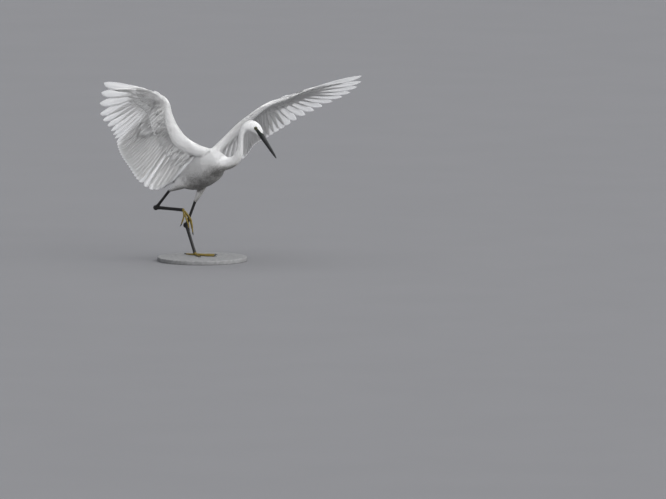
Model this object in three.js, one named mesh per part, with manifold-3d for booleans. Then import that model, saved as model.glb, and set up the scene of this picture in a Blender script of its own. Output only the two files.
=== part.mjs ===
// Little egret, life size, still, standing on one foot with both wings raised.
// Millimetres, +Z up, +X the way the body points, +Y its left side.
// The origin is the centre of the underside of the round base.
import * as THREE from 'three';
import { mergeVertices } from 'three/addons/utils/BufferGeometryUtils.js';
import Module from 'manifold-3d';

const wasm = await Module();
wasm.setup();

// Driving dimensions
const BASE_RADIUS = 130;
const BASE_HEIGHT = 12;
const BASE_CHAMFER = 2;
const JOINT_GAP = 0.32;
const VANE_THICKNESS = 0.65;
const VANE_ROLL = 0.17;
const VANE_BEND = 0.025;
const EYE_RADIUS = 5.2;
const BILL_LENGTH = 80;
const BILL_ROOT_HALF_DEPTH = 7.5;
const BILL_ROOT_HALF_WIDTH = 5.6;
const TARSUS_RADIUS = 4.8;
const TOE_RADIUS = 2.7;
const CLAW_LENGTH = 9;
const UP = new THREE.Vector3(0, 0, 1);

// Finishes
const whiteFeather = [0xf2f2ee, 0.9, 0];
const blackHorn = [0x14151a, 0.35, 0];
const blackScale = [0x17181b, 0.55, 0];
const yellowScale = [0xc9c43a, 0.6, 0];
const yellowEye = [0xe8d84a, 0.1, 0];
const greyStone = [0x8d9092, 0.8, 0];

const egret = new THREE.Group();
const vec = (p) => new THREE.Vector3(p[0], p[1], p[2]);
const mix = (a, b, t) => a + (b - a) * t;

// A closed geometry becomes a solid with its faces outward.
function solid(geometry) {
  geometry.deleteAttribute('normal');
  geometry.deleteAttribute('uv');
  const merged = mergeVertices(geometry, 1e-4);
  const at = merged.attributes.position.array;
  const faces = Uint32Array.from(merged.index.array);
  let volume = 0;
  for (let i = 0; i < faces.length; i += 3) {
    const [a, b, c] = [faces[i] * 3, faces[i + 1] * 3, faces[i + 2] * 3];
    volume += at[a] * (at[b + 1] * at[c + 2] - at[b + 2] * at[c + 1])
      + at[a + 1] * (at[b + 2] * at[c] - at[b] * at[c + 2])
      + at[a + 2] * (at[b] * at[c + 1] - at[b + 1] * at[c]);
  }
  if (volume < 0) {
    for (let i = 0; i < faces.length; i += 3) {
      [faces[i + 1], faces[i + 2]] = [faces[i + 2], faces[i + 1]];
    }
  }
  return new wasm.Manifold(new wasm.Mesh({
    numProp: 3,
    vertProperties: Float32Array.from(at),
    triVerts: faces,
  }));
}

// A tube of changing oval section along stations [x, y, z, half high, half wide].
function limb(stations, sides, steps, up = UP, grow = 0) {
  const spine = new THREE.CatmullRomCurve3(stations.map(vec), false, 'centripetal');
  const girth = new THREE.CatmullRomCurve3(stations.map((s) => new THREE.Vector3(s[3], s[4], 0)));
  const geometry = new THREE.CylinderGeometry(1, 1, 1, sides, steps, false);
  const at = geometry.attributes.position;
  const point = new THREE.Vector3();
  const offset = new THREE.Vector3();
  for (let i = 0; i < at.count; i += 1) {
    const t = Math.min(1, Math.max(0, at.getY(i) + 0.5));
    const radial = Math.hypot(at.getX(i), at.getZ(i));
    spine.getPoint(t, point);
    girth.getPoint(t, offset);
    const high = (offset.x + grow) * at.getX(i);
    const wide = (offset.y + grow) * at.getZ(i);
    const along = spine.getTangent(t);
    const side = new THREE.Vector3().crossVectors(along, up).normalize();
    const top = new THREE.Vector3().crossVectors(side, along).normalize();
    point.addScaledVector(top, high).addScaledVector(side, wide);
    if (radial < 0.5) {
      point.addScaledVector(along, (t > 0.5 ? 1 : -1) * grow);
    }
    at.setXYZ(i, point.x, point.y, point.z);
  }
  return solid(geometry);
}

// A large block whose one face passes through a point, the rest lying along the normal.
function blockBeyond(point, normal, size = 500) {
  const block = new THREE.BoxGeometry(size, size, size);
  block.translate(0, 0, size / 2);
  block.applyQuaternion(new THREE.Quaternion().setFromUnitVectors(UP, normal.clone().normalize()));
  block.translate(point.x, point.y, point.z);
  return solid(block);
}

// What lies behind or ahead of a parting plane, half a joint gap clear of it.
function partAt(body, point, normal, ahead) {
  const away = normal.clone().normalize().multiplyScalar(ahead ? 1 : -1);
  const start = point.clone().addScaledVector(away, JOINT_GAP / 2);
  return body.intersect(blockBeyond(start, away));
}

function joined(pieces) {
  return pieces.reduce((whole, piece) => whole.add(piece));
}

// The largest closed surface of a solid becomes a named mesh.
function addNode(name, body, [color, roughness, metalness]) {
  const largest = body.decompose().reduce((a, b) => (b.volume() > a.volume() ? b : a));
  const mesh = largest.getMesh();
  const geometry = new THREE.BufferGeometry();
  geometry.setAttribute('position', new THREE.BufferAttribute(Float32Array.from(mesh.vertProperties), 3));
  geometry.setIndex(new THREE.BufferAttribute(Uint32Array.from(mesh.triVerts), 1));
  geometry.computeVertexNormals();
  const material = new THREE.MeshStandardMaterial({ color, roughness, metalness });
  const node = new THREE.Mesh(geometry, material);
  node.name = name;
  egret.add(node);
  return largest;
}

// A closed body from rings of six points, split alike on its upper and lower faces.
function closedRings(places, rings) {
  const faces = [];
  const quad = (a, b, c, d) => faces.push(a, b, c, a, c, d);
  for (let ring = 0; ring + 1 < rings; ring += 1) {
    const here = ring * 6;
    const next = here + 6;
    quad(here, here + 1, next + 1, next);
    faces.push(here + 1, here + 2, next + 1, here + 2, next + 2, next + 1);
    quad(here + 2, here + 3, next + 3, next + 2);
    faces.push(here + 3, here + 4, next + 4, here + 3, next + 4, next + 3);
    faces.push(here + 4, here + 5, next + 4, here + 5, next + 5, next + 4);
    quad(here + 5, here, next, next + 5);
  }
  const last = (rings - 1) * 6;
  faces.push(0, 5, 4, 0, 4, 1, 1, 4, 3, 1, 3, 2);
  faces.push(last, last + 4, last + 5, last, last + 1, last + 4);
  faces.push(last + 1, last + 3, last + 4, last + 1, last + 2, last + 3);
  const geometry = new THREE.BufferGeometry();
  const numbers = Float32Array.from(places.flatMap((p) => [p.x, p.y, p.z]));
  geometry.setAttribute('position', new THREE.BufferAttribute(numbers, 3));
  geometry.setIndex(faces);
  return solid(geometry);
}

// One feather: rings of six points, split alike on both faces, rooted at its first ring.
// A profile gives [station, leading width, trailing width] as shares of the length and width.
const PRIMARY_PROFILE = [
  [0, 0.2, 0.15],
  [0.2, 0.85, 0.75],
  [0.6, 1, 1],
  [0.9, 0.72, 0.7],
  [1, 0.2, 0.18],
];
const SECONDARY_PROFILE = [
  [0, 0.2, 0.2],
  [0.25, 0.9, 0.8],
  [0.9, 0.95, 0.9],
  [1, 0.45, 0.4],
];
const COVERT_PROFILE = [
  [0, 0.25, 0.25],
  [0.78, 1, 1],
  [1, 0.35, 0.35],
];

function vane(root, tip, lead, dorsal, leadWidth, trailWidth, profile, roll, bend) {
  const along = tip.clone().sub(root);
  const length = along.length();
  along.normalize();
  const across = lead.clone().addScaledVector(along, -lead.dot(along)).normalize();
  const normal = new THREE.Vector3().crossVectors(along, across).normalize();
  if (normal.dot(dorsal) < 0) {
    normal.negate();
  }
  const rolled = across.clone().multiplyScalar(Math.cos(roll)).addScaledVector(normal, Math.sin(roll));
  const raised = normal.clone().multiplyScalar(Math.cos(roll)).addScaledVector(across, -Math.sin(roll));
  const places = [];
  profile.forEach(([t, leading, trailing]) => {
    const centre = root.clone().addScaledVector(along, length * t)
      .addScaledVector(normal, bend * length * 4 * t * (1 - t));
    const half = mix(VANE_THICKNESS, VANE_THICKNESS * 0.8, t) / 2;
    const camber = 0.5 * half;
    const row = [[leadWidth * leading, -camber], [0, camber], [-trailWidth * trailing, -camber]];
    const place = (w, h) => centre.clone().addScaledVector(rolled, w).addScaledVector(raised, h);
    row.forEach(([w, h]) => places.push(place(w, h + half)));
    row.reverse().forEach(([w, h]) => places.push(place(w, h - half)));
  });
  return closedRings(places, profile.length);
}

// Torso: a deep oval body, pitched up a little, from the tail stub to the root of the neck
const TORSO = [
  [-100, 0, 236, 19, 22],
  [-72, 0, 242, 38, 34],
  [-38, 0, 252.5, 52, 43],
  [0, 0, 269, 56.5, 47],
  [34, 0, 281, 51, 46],
  [60, -3, 288, 37, 37],
  [78, -3, 289, 26, 27],
  [90, -2, 289, 21, 21],
];
const TORSO_SIDES = 18;
const TORSO_STEPS = 13;
const torsoWhole = limb(TORSO, TORSO_SIDES, TORSO_STEPS);
const torsoClearance = limb(TORSO, TORSO_SIDES, TORSO_STEPS, UP, JOINT_GAP * 1.3);
const tailPlane = [vec([-97, 0, 237]), vec([-0.97, 0, -0.24])];
const neckPlane = [vec([82, -2.5, 289]), vec([1, 0.08, 0])];

// Neck: out of the chest, round a low bend, then straight up to the nape
const NECK_ACROSS = new THREE.Vector3(-0.35, 1, 0);
const NECK = [
  [72, -3, 289, 29, 30],
  [84, -2, 289, 23.5, 23.5],
  [100, 1, 289.5, 18.5, 18.5],
  [121, 6, 300, 15.5, 15.5],
  [134, 8, 320, 12.5, 12.5],
  [139, 8, 343, 10, 10],
  [141, 8, 366, 9.2, 9.2],
  [145, 11, 386, 10, 10.5],
  [153, 17, 398, 11.5, 13],
  [160, 23, 402, 12, 14],
];
const neckWhole = limb(NECK, 12, 20, NECK_ACROSS);
const neckMiddle = [vec([136.5, 8, 328]), vec([0.2, 0, 1])];
const napePlane = [vec([152, 16.5, 397]), vec([0.75, 0.58, 0.5])];

// Head: crown, cheeks and the feathered root of the bill
const headForward = new THREE.Vector3(0.35, 0.43, -0.84).normalize();
const headSide = new THREE.Vector3().crossVectors(UP, headForward).normalize();
const headTop = new THREE.Vector3().crossVectors(headForward, headSide).normalize();
const HEAD = [
  [144, 10, 388, 8, 8],
  [151, 16, 396.5, 12.5, 11.5],
  [162, 25, 401, 16.8, 14.2],
  [171.5, 33.5, 395.5, 17, 15.4],
  [179, 42.5, 384, 13.2, 12.4],
  [184, 49, 372, 8.4, 7.4],
  [187, 53, 365, 6.5, 5.2],
];
const HEAD_SIDES = 14;
const HEAD_STEPS = 11;
const faceEnd = vec([184, 49.2, 372]);
const eyeMiddle = vec([172.2, 33.8, 394.2]);
const EYE_SPREAD = 13.2;
const EYE_SHARE = 0.7;
const LID_RADIUS = 4.9;
const LID_THICKNESS = 0.95;
const GAPE_DEPTH = 1.1;
const GAPE_THICKNESS = 0.55;
const GAPE_LENGTH = 19;

// Turns a piece made round +Z so that it points along a direction, with its +Y along another.
function aimed(geometry, toward, top, centre) {
  const side = new THREE.Vector3().crossVectors(top, toward).normalize();
  const high = new THREE.Vector3().crossVectors(toward, side).normalize();
  const turn = new THREE.Matrix4().makeBasis(side, high, toward.clone().normalize());
  turn.setPosition(centre);
  geometry.applyMatrix4(turn);
  return geometry;
}

function eyeBall(hand, grow) {
  const sphere = new THREE.SphereGeometry(1, 12, 8);
  const radius = EYE_RADIUS + grow;
  sphere.scale(radius, radius, EYE_RADIUS * EYE_SHARE + grow);
  const centre = eyeMiddle.clone().addScaledVector(headSide, hand * EYE_SPREAD);
  return solid(aimed(sphere, headSide, headTop, centre));
}

function eyeLid(hand) {
  const ring = new THREE.TorusGeometry(LID_RADIUS, LID_THICKNESS, 4, 12);
  const centre = eyeMiddle.clone().addScaledVector(headSide, hand * (EYE_SPREAD + 1.9));
  return solid(aimed(ring, headSide, headTop, centre));
}

const headOuter = limb(HEAD, HEAD_SIDES, HEAD_STEPS, headTop);
const headInner = limb(HEAD, HEAD_SIDES, HEAD_STEPS, headTop, -GAPE_DEPTH);
const gapeCentre = faceEnd.clone().addScaledVector(headTop, -1.2)
  .addScaledVector(headForward, -GAPE_LENGTH / 2);
const gapePlate = new THREE.BoxGeometry(60, GAPE_THICKNESS, GAPE_LENGTH);
const gape = solid(aimed(gapePlate, headForward, headTop, gapeCentre)).subtract(headInner);
let head = partAt(headOuter, napePlane[0], napePlane[1], true);
head = partAt(head, faceEnd, headForward, false);
head = joined([head, eyeLid(1), eyeLid(-1)]).subtract(gape);
head = head.subtract(eyeBall(1, JOINT_GAP)).subtract(eyeBall(-1, JOINT_GAP));

// Bill: a long dagger, the upper part with a nostril slit on each side
const billStart = faceEnd.clone().addScaledVector(headForward, -4);
const billPoint = (share, drop) => {
  const p = faceEnd.clone().addScaledVector(headForward, BILL_LENGTH * share).addScaledVector(headTop, drop);
  return [p.x, p.y, p.z];
};
const BILL = [
  [billStart.x, billStart.y, billStart.z, BILL_ROOT_HALF_DEPTH, BILL_ROOT_HALF_WIDTH],
  [...billPoint(0, 0), BILL_ROOT_HALF_DEPTH, BILL_ROOT_HALF_WIDTH],
  [...billPoint(0.3, -0.2), BILL_ROOT_HALF_DEPTH * 0.78, BILL_ROOT_HALF_WIDTH * 0.76],
  [...billPoint(0.6, -0.3), BILL_ROOT_HALF_DEPTH * 0.64, BILL_ROOT_HALF_WIDTH * 0.6],
  [...billPoint(0.85, -0.5), BILL_ROOT_HALF_DEPTH * 0.44, BILL_ROOT_HALF_WIDTH * 0.4],
  [...billPoint(1, -0.9), BILL_ROOT_HALF_DEPTH * 0.09, BILL_ROOT_HALF_WIDTH * 0.1],
];
const NOSTRIL_LENGTH = 8;
const billWhole = partAt(limb(BILL, 12, 8, headTop), faceEnd, headForward, true);
const mouthLine = faceEnd.clone().addScaledVector(headTop, -1.2);
function nostril(hand) {
  const slit = new THREE.SphereGeometry(1, 8, 6);
  slit.scale(1.1, 0.7, NOSTRIL_LENGTH / 2);
  const centre = faceEnd.clone().addScaledVector(headForward, 13).addScaledVector(headTop, 2.6)
    .addScaledVector(headSide, hand * 4.1);
  return solid(aimed(slit, headForward, headTop, centre));
}
const billUpper = partAt(billWhole, mouthLine, headTop, true).subtract(nostril(1)).subtract(nostril(-1));
const billLower = partAt(billWhole, mouthLine, headTop, false);

// Wings. Each arm runs shoulder, elbow, wrist, fingertip; the tips run from the outermost
// primary to the innermost tertial, each with its feather's number counted from the outside.
const PRIMARIES = 10;
const SECONDARIES = 12;
const TERTIALS = 5;
const FLIGHT_FEATHERS = PRIMARIES + SECONDARIES + TERTIALS;
const WINGS = {
  right: {
    dorsal: vec([-0.78, 0.56, 0.26]),
    wristRoll: 0.4,
    arm: [
      [35, -14, 314, 13, 18],
      [17, -44, 326, 12, 19],
      [-12, -80, 352, 10.5, 23],
      [-27, -99, 390, 8.5, 19],
      [-35, -109, 431, 7.5, 14],
      [-39, -115, 468, 7, 10.5],
      [-43, -146, 489, 5.5, 8.5],
      [-44, -175, 500, 4.8, 6.5],
      [-45, -200, 509, 3.4, 4],
    ],
    tips: [
      [0, -44, -380, 541],
      [1, -51, -383, 513],
      [3, -79, -357, 448],
      [6, -98, -288, 393],
      [9, -129, -229, 353],
      [13, -134, -205, 316],
      [17, -122, -184, 280],
      [21, -104, -162, 238],
      [23, -80, -132, 212],
      [26, -62, -86, 232],
    ],
  },
  left: {
    dorsal: vec([-0.64, 0.04, 0.77]),
    wristRoll: 0.06,
    arm: [
      [29, 14, 314, 13, 18],
      [44, 46, 344, 12, 19],
      [75, 81, 388, 10.5, 23],
      [99, 99, 415, 8.5, 19],
      [126, 119, 442, 7.5, 14],
      [147, 135, 457, 7, 10.5],
      [178, 165, 471, 5.5, 8.5],
      [196, 184, 481, 4.8, 6.5],
      [211, 199, 488, 3.4, 4],
    ],
    tips: [
      [0, 338, 315, 536],
      [1, 321, 334, 517],
      [3, 265, 352, 481],
      [6, 175, 332, 436],
      [9, 106, 297, 395],
      [13, 44, 245, 346],
      [17, 12, 219, 322],
      [21, -8, 201, 286],
      [23, -25, 165, 262],
      [26, -40, 88, 262],
    ],
  },
};
const ELBOW_STATION = 2.5;
const WRIST_STATION = 5.15;
const ROOT_MARGIN = 0.13;
const FINGERTIP_STATION = 7.7;
const SHOULDER_STATION = 0.95;
const ROOT_REACH = 0.25;
const ARM_SIDES = 10;
const ARM_STEPS = 13;

// Where along the arm's stations a feather is rooted.
function rootStation(feather) {
  if (feather < PRIMARIES - 0.5) {
    return mix(FINGERTIP_STATION, WRIST_STATION + ROOT_MARGIN, feather / (PRIMARIES - 1));
  }
  if (feather < PRIMARIES + SECONDARIES - 0.5) {
    const share = (feather - PRIMARIES) / (SECONDARIES - 1);
    return mix(WRIST_STATION - ROOT_MARGIN, ELBOW_STATION + ROOT_MARGIN, share);
  }
  const share = (feather - PRIMARIES - SECONDARIES) / (TERTIALS - 1);
  return mix(ELBOW_STATION - ROOT_MARGIN, SHOULDER_STATION, share);
}

function wingParts(wing) {
  const last = wing.arm.length - 1;
  const spine = new THREE.CatmullRomCurve3(wing.arm.map(vec), false, 'centripetal');
  const tipCurve = new THREE.CatmullRomCurve3(wing.tips.map((t) => vec(t.slice(1))), false, 'centripetal');
  const stationAt = (k) => spine.getPoint(k / last);
  const girthAt = (k) => {
    const low = Math.min(last - 1, Math.floor(k));
    return [3, 4].map((j) => mix(wing.arm[low][j], wing.arm[low + 1][j], k - low));
  };
  const tipAt = (feather) => {
    const ahead = wing.tips.findIndex((t) => t[0] >= feather);
    const low = Math.max(0, ahead - 1);
    const span = wing.tips[low + 1][0] - wing.tips[low][0];
    return tipCurve.getPoint((low + (feather - wing.tips[low][0]) / span) / (wing.tips.length - 1));
  };
  const core = limb(wing.arm, ARM_SIDES, ARM_STEPS, wing.dorsal);
  const clear = limb(wing.arm, ARM_SIDES, ARM_STEPS, wing.dorsal, JOINT_GAP);
  const elbow = [stationAt(ELBOW_STATION), spine.getTangent(ELBOW_STATION / last)];
  const wrist = [stationAt(WRIST_STATION), spine.getTangent(WRIST_STATION / last)];
  return { wing, stationAt, girthAt, tipAt, core, clear, elbow, wrist };
}

// Root, tip, leading direction and dorsal direction of one flight feather.
function featherLay(parts, feather) {
  const lay = (n) => {
    const station = rootStation(n);
    const root = parts.stationAt(station);
    const tip = parts.tipAt(n);
    const along = tip.clone().sub(root).normalize();
    root.addScaledVector(along, parts.girthAt(station)[1] * ROOT_REACH);
    return [root, tip];
  };
  const [root, tip] = lay(feather);
  const before = lay(Math.max(0, feather - 2));
  const after = lay(Math.min(FLIGHT_FEATHERS - 1, feather + 2));
  const lead = before[0].add(before[1].multiplyScalar(2)).sub(after[0].add(after[1].multiplyScalar(2)));
  const along = tip.clone().sub(root).normalize();
  lead.addScaledVector(along, -lead.dot(along)).normalize();
  const dorsal = new THREE.Vector3().crossVectors(along, lead).normalize();
  if (dorsal.dot(parts.wing.dorsal) < 0) {
    dorsal.negate();
  }
  return { root, tip, lead, dorsal };
}

// Widths of the leading and trailing vane of a flight feather, half way along.
const FEATHER_WIDTHS = [
  [0, 5, 13],
  [2, 7, 16],
  [9, 9, 16],
  [16, 9, 16],
  [20, 8, 12],
  [22, 9, 13],
  [24, 13, 18],
  [26, 13, 18],
];
const COVERT_TIERS = [
  { offset: 3.4, share: 0.42, wider: 0.84 },
  { offset: -3.4, share: 0.33, wider: 0.84 },
];
const ALULA = { feathers: 3, length: 44, lead: 5, trail: 7, shortening: 7, spacing: 1.7 };

function widthsOf(feather) {
  const ahead = Math.max(1, FEATHER_WIDTHS.findIndex((w) => w[0] >= feather));
  const [from, to] = [FEATHER_WIDTHS[ahead - 1], FEATHER_WIDTHS[ahead]];
  const share = (feather - from[0]) / (to[0] - from[0]);
  return [mix(from[1], to[1], share), mix(from[2], to[2], share)];
}

// Feathers near the wrist roll further, so that they clear each other round the bend.
function rollOf(parts, feather) {
  const near = Math.max(0, 1 - Math.abs(feather - PRIMARIES + 1) / 2.5);
  return VANE_ROLL + parts.wing.wristRoll * near;
}

function flightVane(parts, feather) {
  const { root, tip, lead, dorsal } = featherLay(parts, feather);
  const [leading, trailing] = widthsOf(feather);
  const profile = feather < PRIMARIES ? PRIMARY_PROFILE : SECONDARY_PROFILE;
  return vane(root, tip, lead, dorsal, leading, trailing, profile, rollOf(parts, feather), VANE_BEND);
}

// A covert lies over the shaft of its flight feather, on the back or the under side.
function covertVane(parts, feather, tier) {
  const { root, tip, lead, dorsal } = featherLay(parts, feather);
  const [leading, trailing] = widthsOf(feather);
  const height = parts.girthAt(rootStation(feather))[0];
  const sunk = Math.sign(tier.offset) * Math.min(Math.abs(tier.offset), height * 0.55);
  const bow = VANE_BEND * root.distanceTo(tip) * 4 * tier.share * (1 - tier.share);
  const end = root.clone().lerp(tip, tier.share).addScaledVector(dorsal, tier.offset + bow);
  const start = root.clone().addScaledVector(dorsal, sunk);
  const widths = [leading, trailing].map((w) => w * tier.wider);
  const roll = rollOf(parts, feather);
  return vane(start, end, lead, dorsal, widths[0], widths[1], COVERT_PROFILE, roll, VANE_BEND * tier.share);
}

// The alula: three short feathers on the thumb, along the leading edge of the hand.
function alulaVanes(parts) {
  const start = parts.stationAt(WRIST_STATION + 0.35);
  const toward = parts.stationAt(WRIST_STATION + 2.2).sub(start).normalize();
  const { lead, dorsal } = featherLay(parts, 0);
  const outward = lead.clone().addScaledVector(toward, -lead.dot(toward)).normalize();
  return Array.from({ length: ALULA.feathers }, (_, k) => {
    const root = start.clone().addScaledVector(outward, 4).addScaledVector(dorsal, k * ALULA.spacing - 0.5);
    const length = ALULA.length - k * ALULA.shortening;
    const tip = root.clone().addScaledVector(toward, length).addScaledVector(outward, 5)
      .addScaledVector(dorsal, k * ALULA.spacing);
    return vane(root, tip, outward, dorsal, ALULA.lead, ALULA.trail, COVERT_PROFILE, VANE_ROLL, 0.01);
  });
}

// All the feathers that grow from one stretch of the wing.
function plumage(parts, from, to) {
  const vanes = [];
  for (let feather = from; feather < to; feather += 1) {
    vanes.push(flightVane(parts, feather));
    vanes.push(covertVane(parts, feather, COVERT_TIERS[feather % 2]));
  }
  return vanes;
}

function wingNodes(side) {
  const parts = wingParts(WINGS[side]);
  const { core, clear, elbow, wrist } = parts;
  const armCore = partAt(core, elbow[0], elbow[1], false);
  const foreCore = partAt(partAt(core, elbow[0], elbow[1], true), wrist[0], wrist[1], false);
  const handCore = partAt(core, wrist[0], wrist[1], true);
  const beforeElbow = clear.intersect(blockBeyond(elbow[0], elbow[1].clone().negate()));
  const afterElbow = clear.intersect(blockBeyond(elbow[0], elbow[1]));
  const beforeWrist = clear.intersect(blockBeyond(wrist[0], wrist[1].clone().negate()));
  const afterWrist = clear.intersect(blockBeyond(wrist[0], wrist[1]));
  const first = PRIMARIES;
  const second = PRIMARIES + SECONDARIES;
  const hand = joined([handCore, ...plumage(parts, 0, first), ...alulaVanes(parts)]);
  const fore = joined([foreCore, ...plumage(parts, first, second)]);
  const upper = joined([armCore, ...plumage(parts, second, FLIGHT_FEATHERS)]);
  return {
    hand: hand.subtract(beforeWrist),
    forearm: fore.subtract(beforeElbow).subtract(afterWrist),
    upper_arm: upper.subtract(afterElbow).subtract(torsoClearance),
  };
}

// Tail: a stub with closed feathers
const TAIL_STUB = [
  [-90, 0, 239, 24, 26],
  [-98, 0, 236.5, 20, 22.5],
  [-106, 0, 234, 14, 18],
  [-118, 0, 227, 7, 13],
];
const TAIL = { pairs: 6, length: 56, rootSpacing: 3.2, tipSpacing: 4.6, width: 5.4, roll: 0.4, drop: 0.6 };
const tailAlong = vec([-0.82, 0, -0.57]).normalize();
const tailOut = new THREE.Vector3(0, 1, 0);
const tailTop = new THREE.Vector3().crossVectors(tailOut, tailAlong).normalize();
const tailRoot = vec([-104, 0, 234]);

function tailFeather(hand, pair, { raise, share, profile }) {
  const root = tailRoot.clone().addScaledVector(tailOut, hand * (pair + 0.5) * TAIL.rootSpacing)
    .addScaledVector(tailTop, raise - pair * TAIL.drop * 0.5);
  const length = TAIL.length * share * (1 - 0.012 * pair * pair);
  const tip = root.clone().addScaledVector(tailAlong, length)
    .addScaledVector(tailOut, hand * (pair + 0.5) * (TAIL.tipSpacing - TAIL.rootSpacing))
    .addScaledVector(tailTop, -pair * TAIL.drop);
  const outward = tailOut.clone().multiplyScalar(hand);
  return vane(root, tip, outward, tailTop, TAIL.width, TAIL.width, profile, TAIL.roll, 0.02);
}

const CENTRE_RAISE = 2.6;
const tailFeathers = [1, -1].flatMap((hand) => Array.from({ length: TAIL.pairs }, (_, pair) => (
  tailFeather(hand, pair, { raise: hand > 0 ? CENTRE_RAISE : 0, share: 1, profile: SECONDARY_PROFILE })
)));
const tailCoverts = [1, -1].flatMap((hand) => [0.6, 3.2].map((pair) => (
  tailFeather(hand, pair, { raise: hand > 0 ? 7 : 5, share: 0.5, profile: COVERT_PROFILE })
)));
const tailStub = partAt(limb(TAIL_STUB, 12, 4), tailPlane[0], tailPlane[1], true);
const tailFace = tailPlane[0].clone().addScaledVector(tailPlane[1], JOINT_GAP / 2);
const tail = joined([tailStub, ...tailFeathers, ...tailCoverts])
  .subtract(blockBeyond(tailFace, tailPlane[1].clone().negate()));

// Legs: stations of each stretch, from the body down to the toes
const LEGS = {
  left: {
    thigh: [
      [-18, 24, 250, 18, 16],
      [-22, 27, 222, 17, 14],
      [-33, 24.5, 191, 10.5, 9.5],
      [-44, 20.5, 169, 6.3, 6],
      [-49, 19, 157, 4.5, 4.5],
    ],
    feathered: vec([-45, 20.2, 167]),
    ankle: vec([-71, 12, 98]),
    foot: vec([-34, 8, 16.5]),
    up: vec([1, 0, 0.3]),
  },
  right: {
    thigh: [
      [-32, -27, 236, 24, 15],
      [-58, -31, 222, 18, 12.5],
      [-82, -31, 209, 10.5, 8.5],
      [-99, -30, 201, 6.2, 6],
      [-108, -29, 194, 4.5, 4.5],
    ],
    feathered: vec([-99, -30, 201]),
    ankle: vec([-155, -24, 147]),
    foot: vec([-64, -7, 144]),
    up: vec([0.3, 0, 1]),
  },
};

function station(point, high, wide) {
  return [point.x, point.y, point.z, high, wide];
}

function bone(from, to, radii, up, grow = 0) {
  const along = to.clone().sub(from).normalize();
  const rows = radii.map(([share, high, wide]) => station(from.clone().lerp(to, share), high, wide));
  rows.unshift(station(from.clone().addScaledVector(along, -1), radii[0][1] * 0.6, radii[0][2] * 0.6));
  rows.push(station(to.clone().addScaledVector(along, 1), radii.at(-1)[1] * 0.6, radii.at(-1)[2] * 0.6));
  return limb(rows, 8, 9, up, grow);
}

const TIBIA_RADII = [
  [0, 4.4, 4],
  [0.5, 4.1, 3.6],
  [0.85, 4.8, 4.2],
  [1, 6.8, 5.6],
];
const TARSUS_RADII = [
  [0, 6.8, 5.6],
  [0.12, 5.3, 4.4],
  [0.5, TARSUS_RADIUS, 4],
  [0.85, TARSUS_RADIUS, 4],
  [1, 5.2, 4.8],
];

// Toes: each is a jointed tube from the foot's middle, with a claw of its own
const TOE_Z = BASE_HEIGHT + JOINT_GAP + TOE_RADIUS;
const CLAW_Z = BASE_HEIGHT + JOINT_GAP + 0.5;
const standingToe = (heading, length) => {
  const turn = THREE.MathUtils.degToRad(heading);
  const foot = LEGS.left.foot;
  return [0.06, 0.35, 0.68, 1].map((share) => vec([
    foot.x + Math.cos(turn) * length * share,
    foot.y + Math.sin(turn) * length * share,
    TOE_Z + (share < 0.1 ? 0.9 : 0),
  ]));
};
const TOES = {
  left: {
    middle: standingToe(4, 68),
    inner: standingToe(-34, 52),
    outer: standingToe(40, 56),
    hind: standingToe(186, 31),
  },
  right: {
    middle: [[-62, -6, 141], [-49, 5, 118], [-46, 8, 98], [-44.5, 9.5, 79]].map(vec),
    inner: [[-64, -6, 140], [-57, -3, 116], [-54, 0, 104], [-52.5, 1.5, 93]].map(vec),
    outer: [[-63, -4, 141], [-58, 8, 120], [-56, 14, 106], [-55, 17, 92]].map(vec),
    hind: [[-65, -8, 141], [-63, -8, 128], [-66, -10, 114], [-69, -12, 104]].map(vec),
  },
};

function toeTube(points) {
  const radii = [1.15, 1, 0.92, 0.7];
  const rows = points.map((p, i) => station(p, TOE_RADIUS * radii[i], TOE_RADIUS * radii[i]));
  return limb(rows, 7, 4, new THREE.Vector3(0.2, 0.1, 1));
}

function clawHorn(points, foot) {
  const end = points.at(-1);
  const along = end.clone().sub(points.at(-2)).normalize();
  const start = end.clone().addScaledVector(along, JOINT_GAP);
  const standing = Math.abs(along.z) < 0.2;
  const tip = start.clone().addScaledVector(along, CLAW_LENGTH);
  const middle = start.clone().addScaledVector(along, CLAW_LENGTH * 0.55);
  if (standing) {
    tip.z = CLAW_Z;
    middle.z += 0.2;
  } else {
    const hook = end.clone().sub(foot).setZ(0).normalize();
    tip.addScaledVector(hook, 2.2);
    middle.addScaledVector(hook, 0.3);
  }
  const rows = [
    station(start, TOE_RADIUS * 0.68, TOE_RADIUS * 0.6),
    station(middle, TOE_RADIUS * 0.46, TOE_RADIUS * 0.4),
    station(tip, 0.35, 0.35),
  ];
  return limb(rows, 7, 3, new THREE.Vector3(0.2, 0.1, 1));
}

// Base: a low round disc with a softened rim
const baseProfile = [
  [0, 0],
  [BASE_RADIUS - BASE_CHAMFER, 0],
  [BASE_RADIUS, BASE_CHAMFER],
  [BASE_RADIUS, BASE_HEIGHT - BASE_CHAMFER],
  [BASE_RADIUS - BASE_CHAMFER, BASE_HEIGHT],
  [0, BASE_HEIGHT],
].map(([r, z]) => new THREE.Vector2(r, z));
const baseDisc = new THREE.LatheGeometry(baseProfile, 36);
baseDisc.rotateX(Math.PI / 2);

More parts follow.
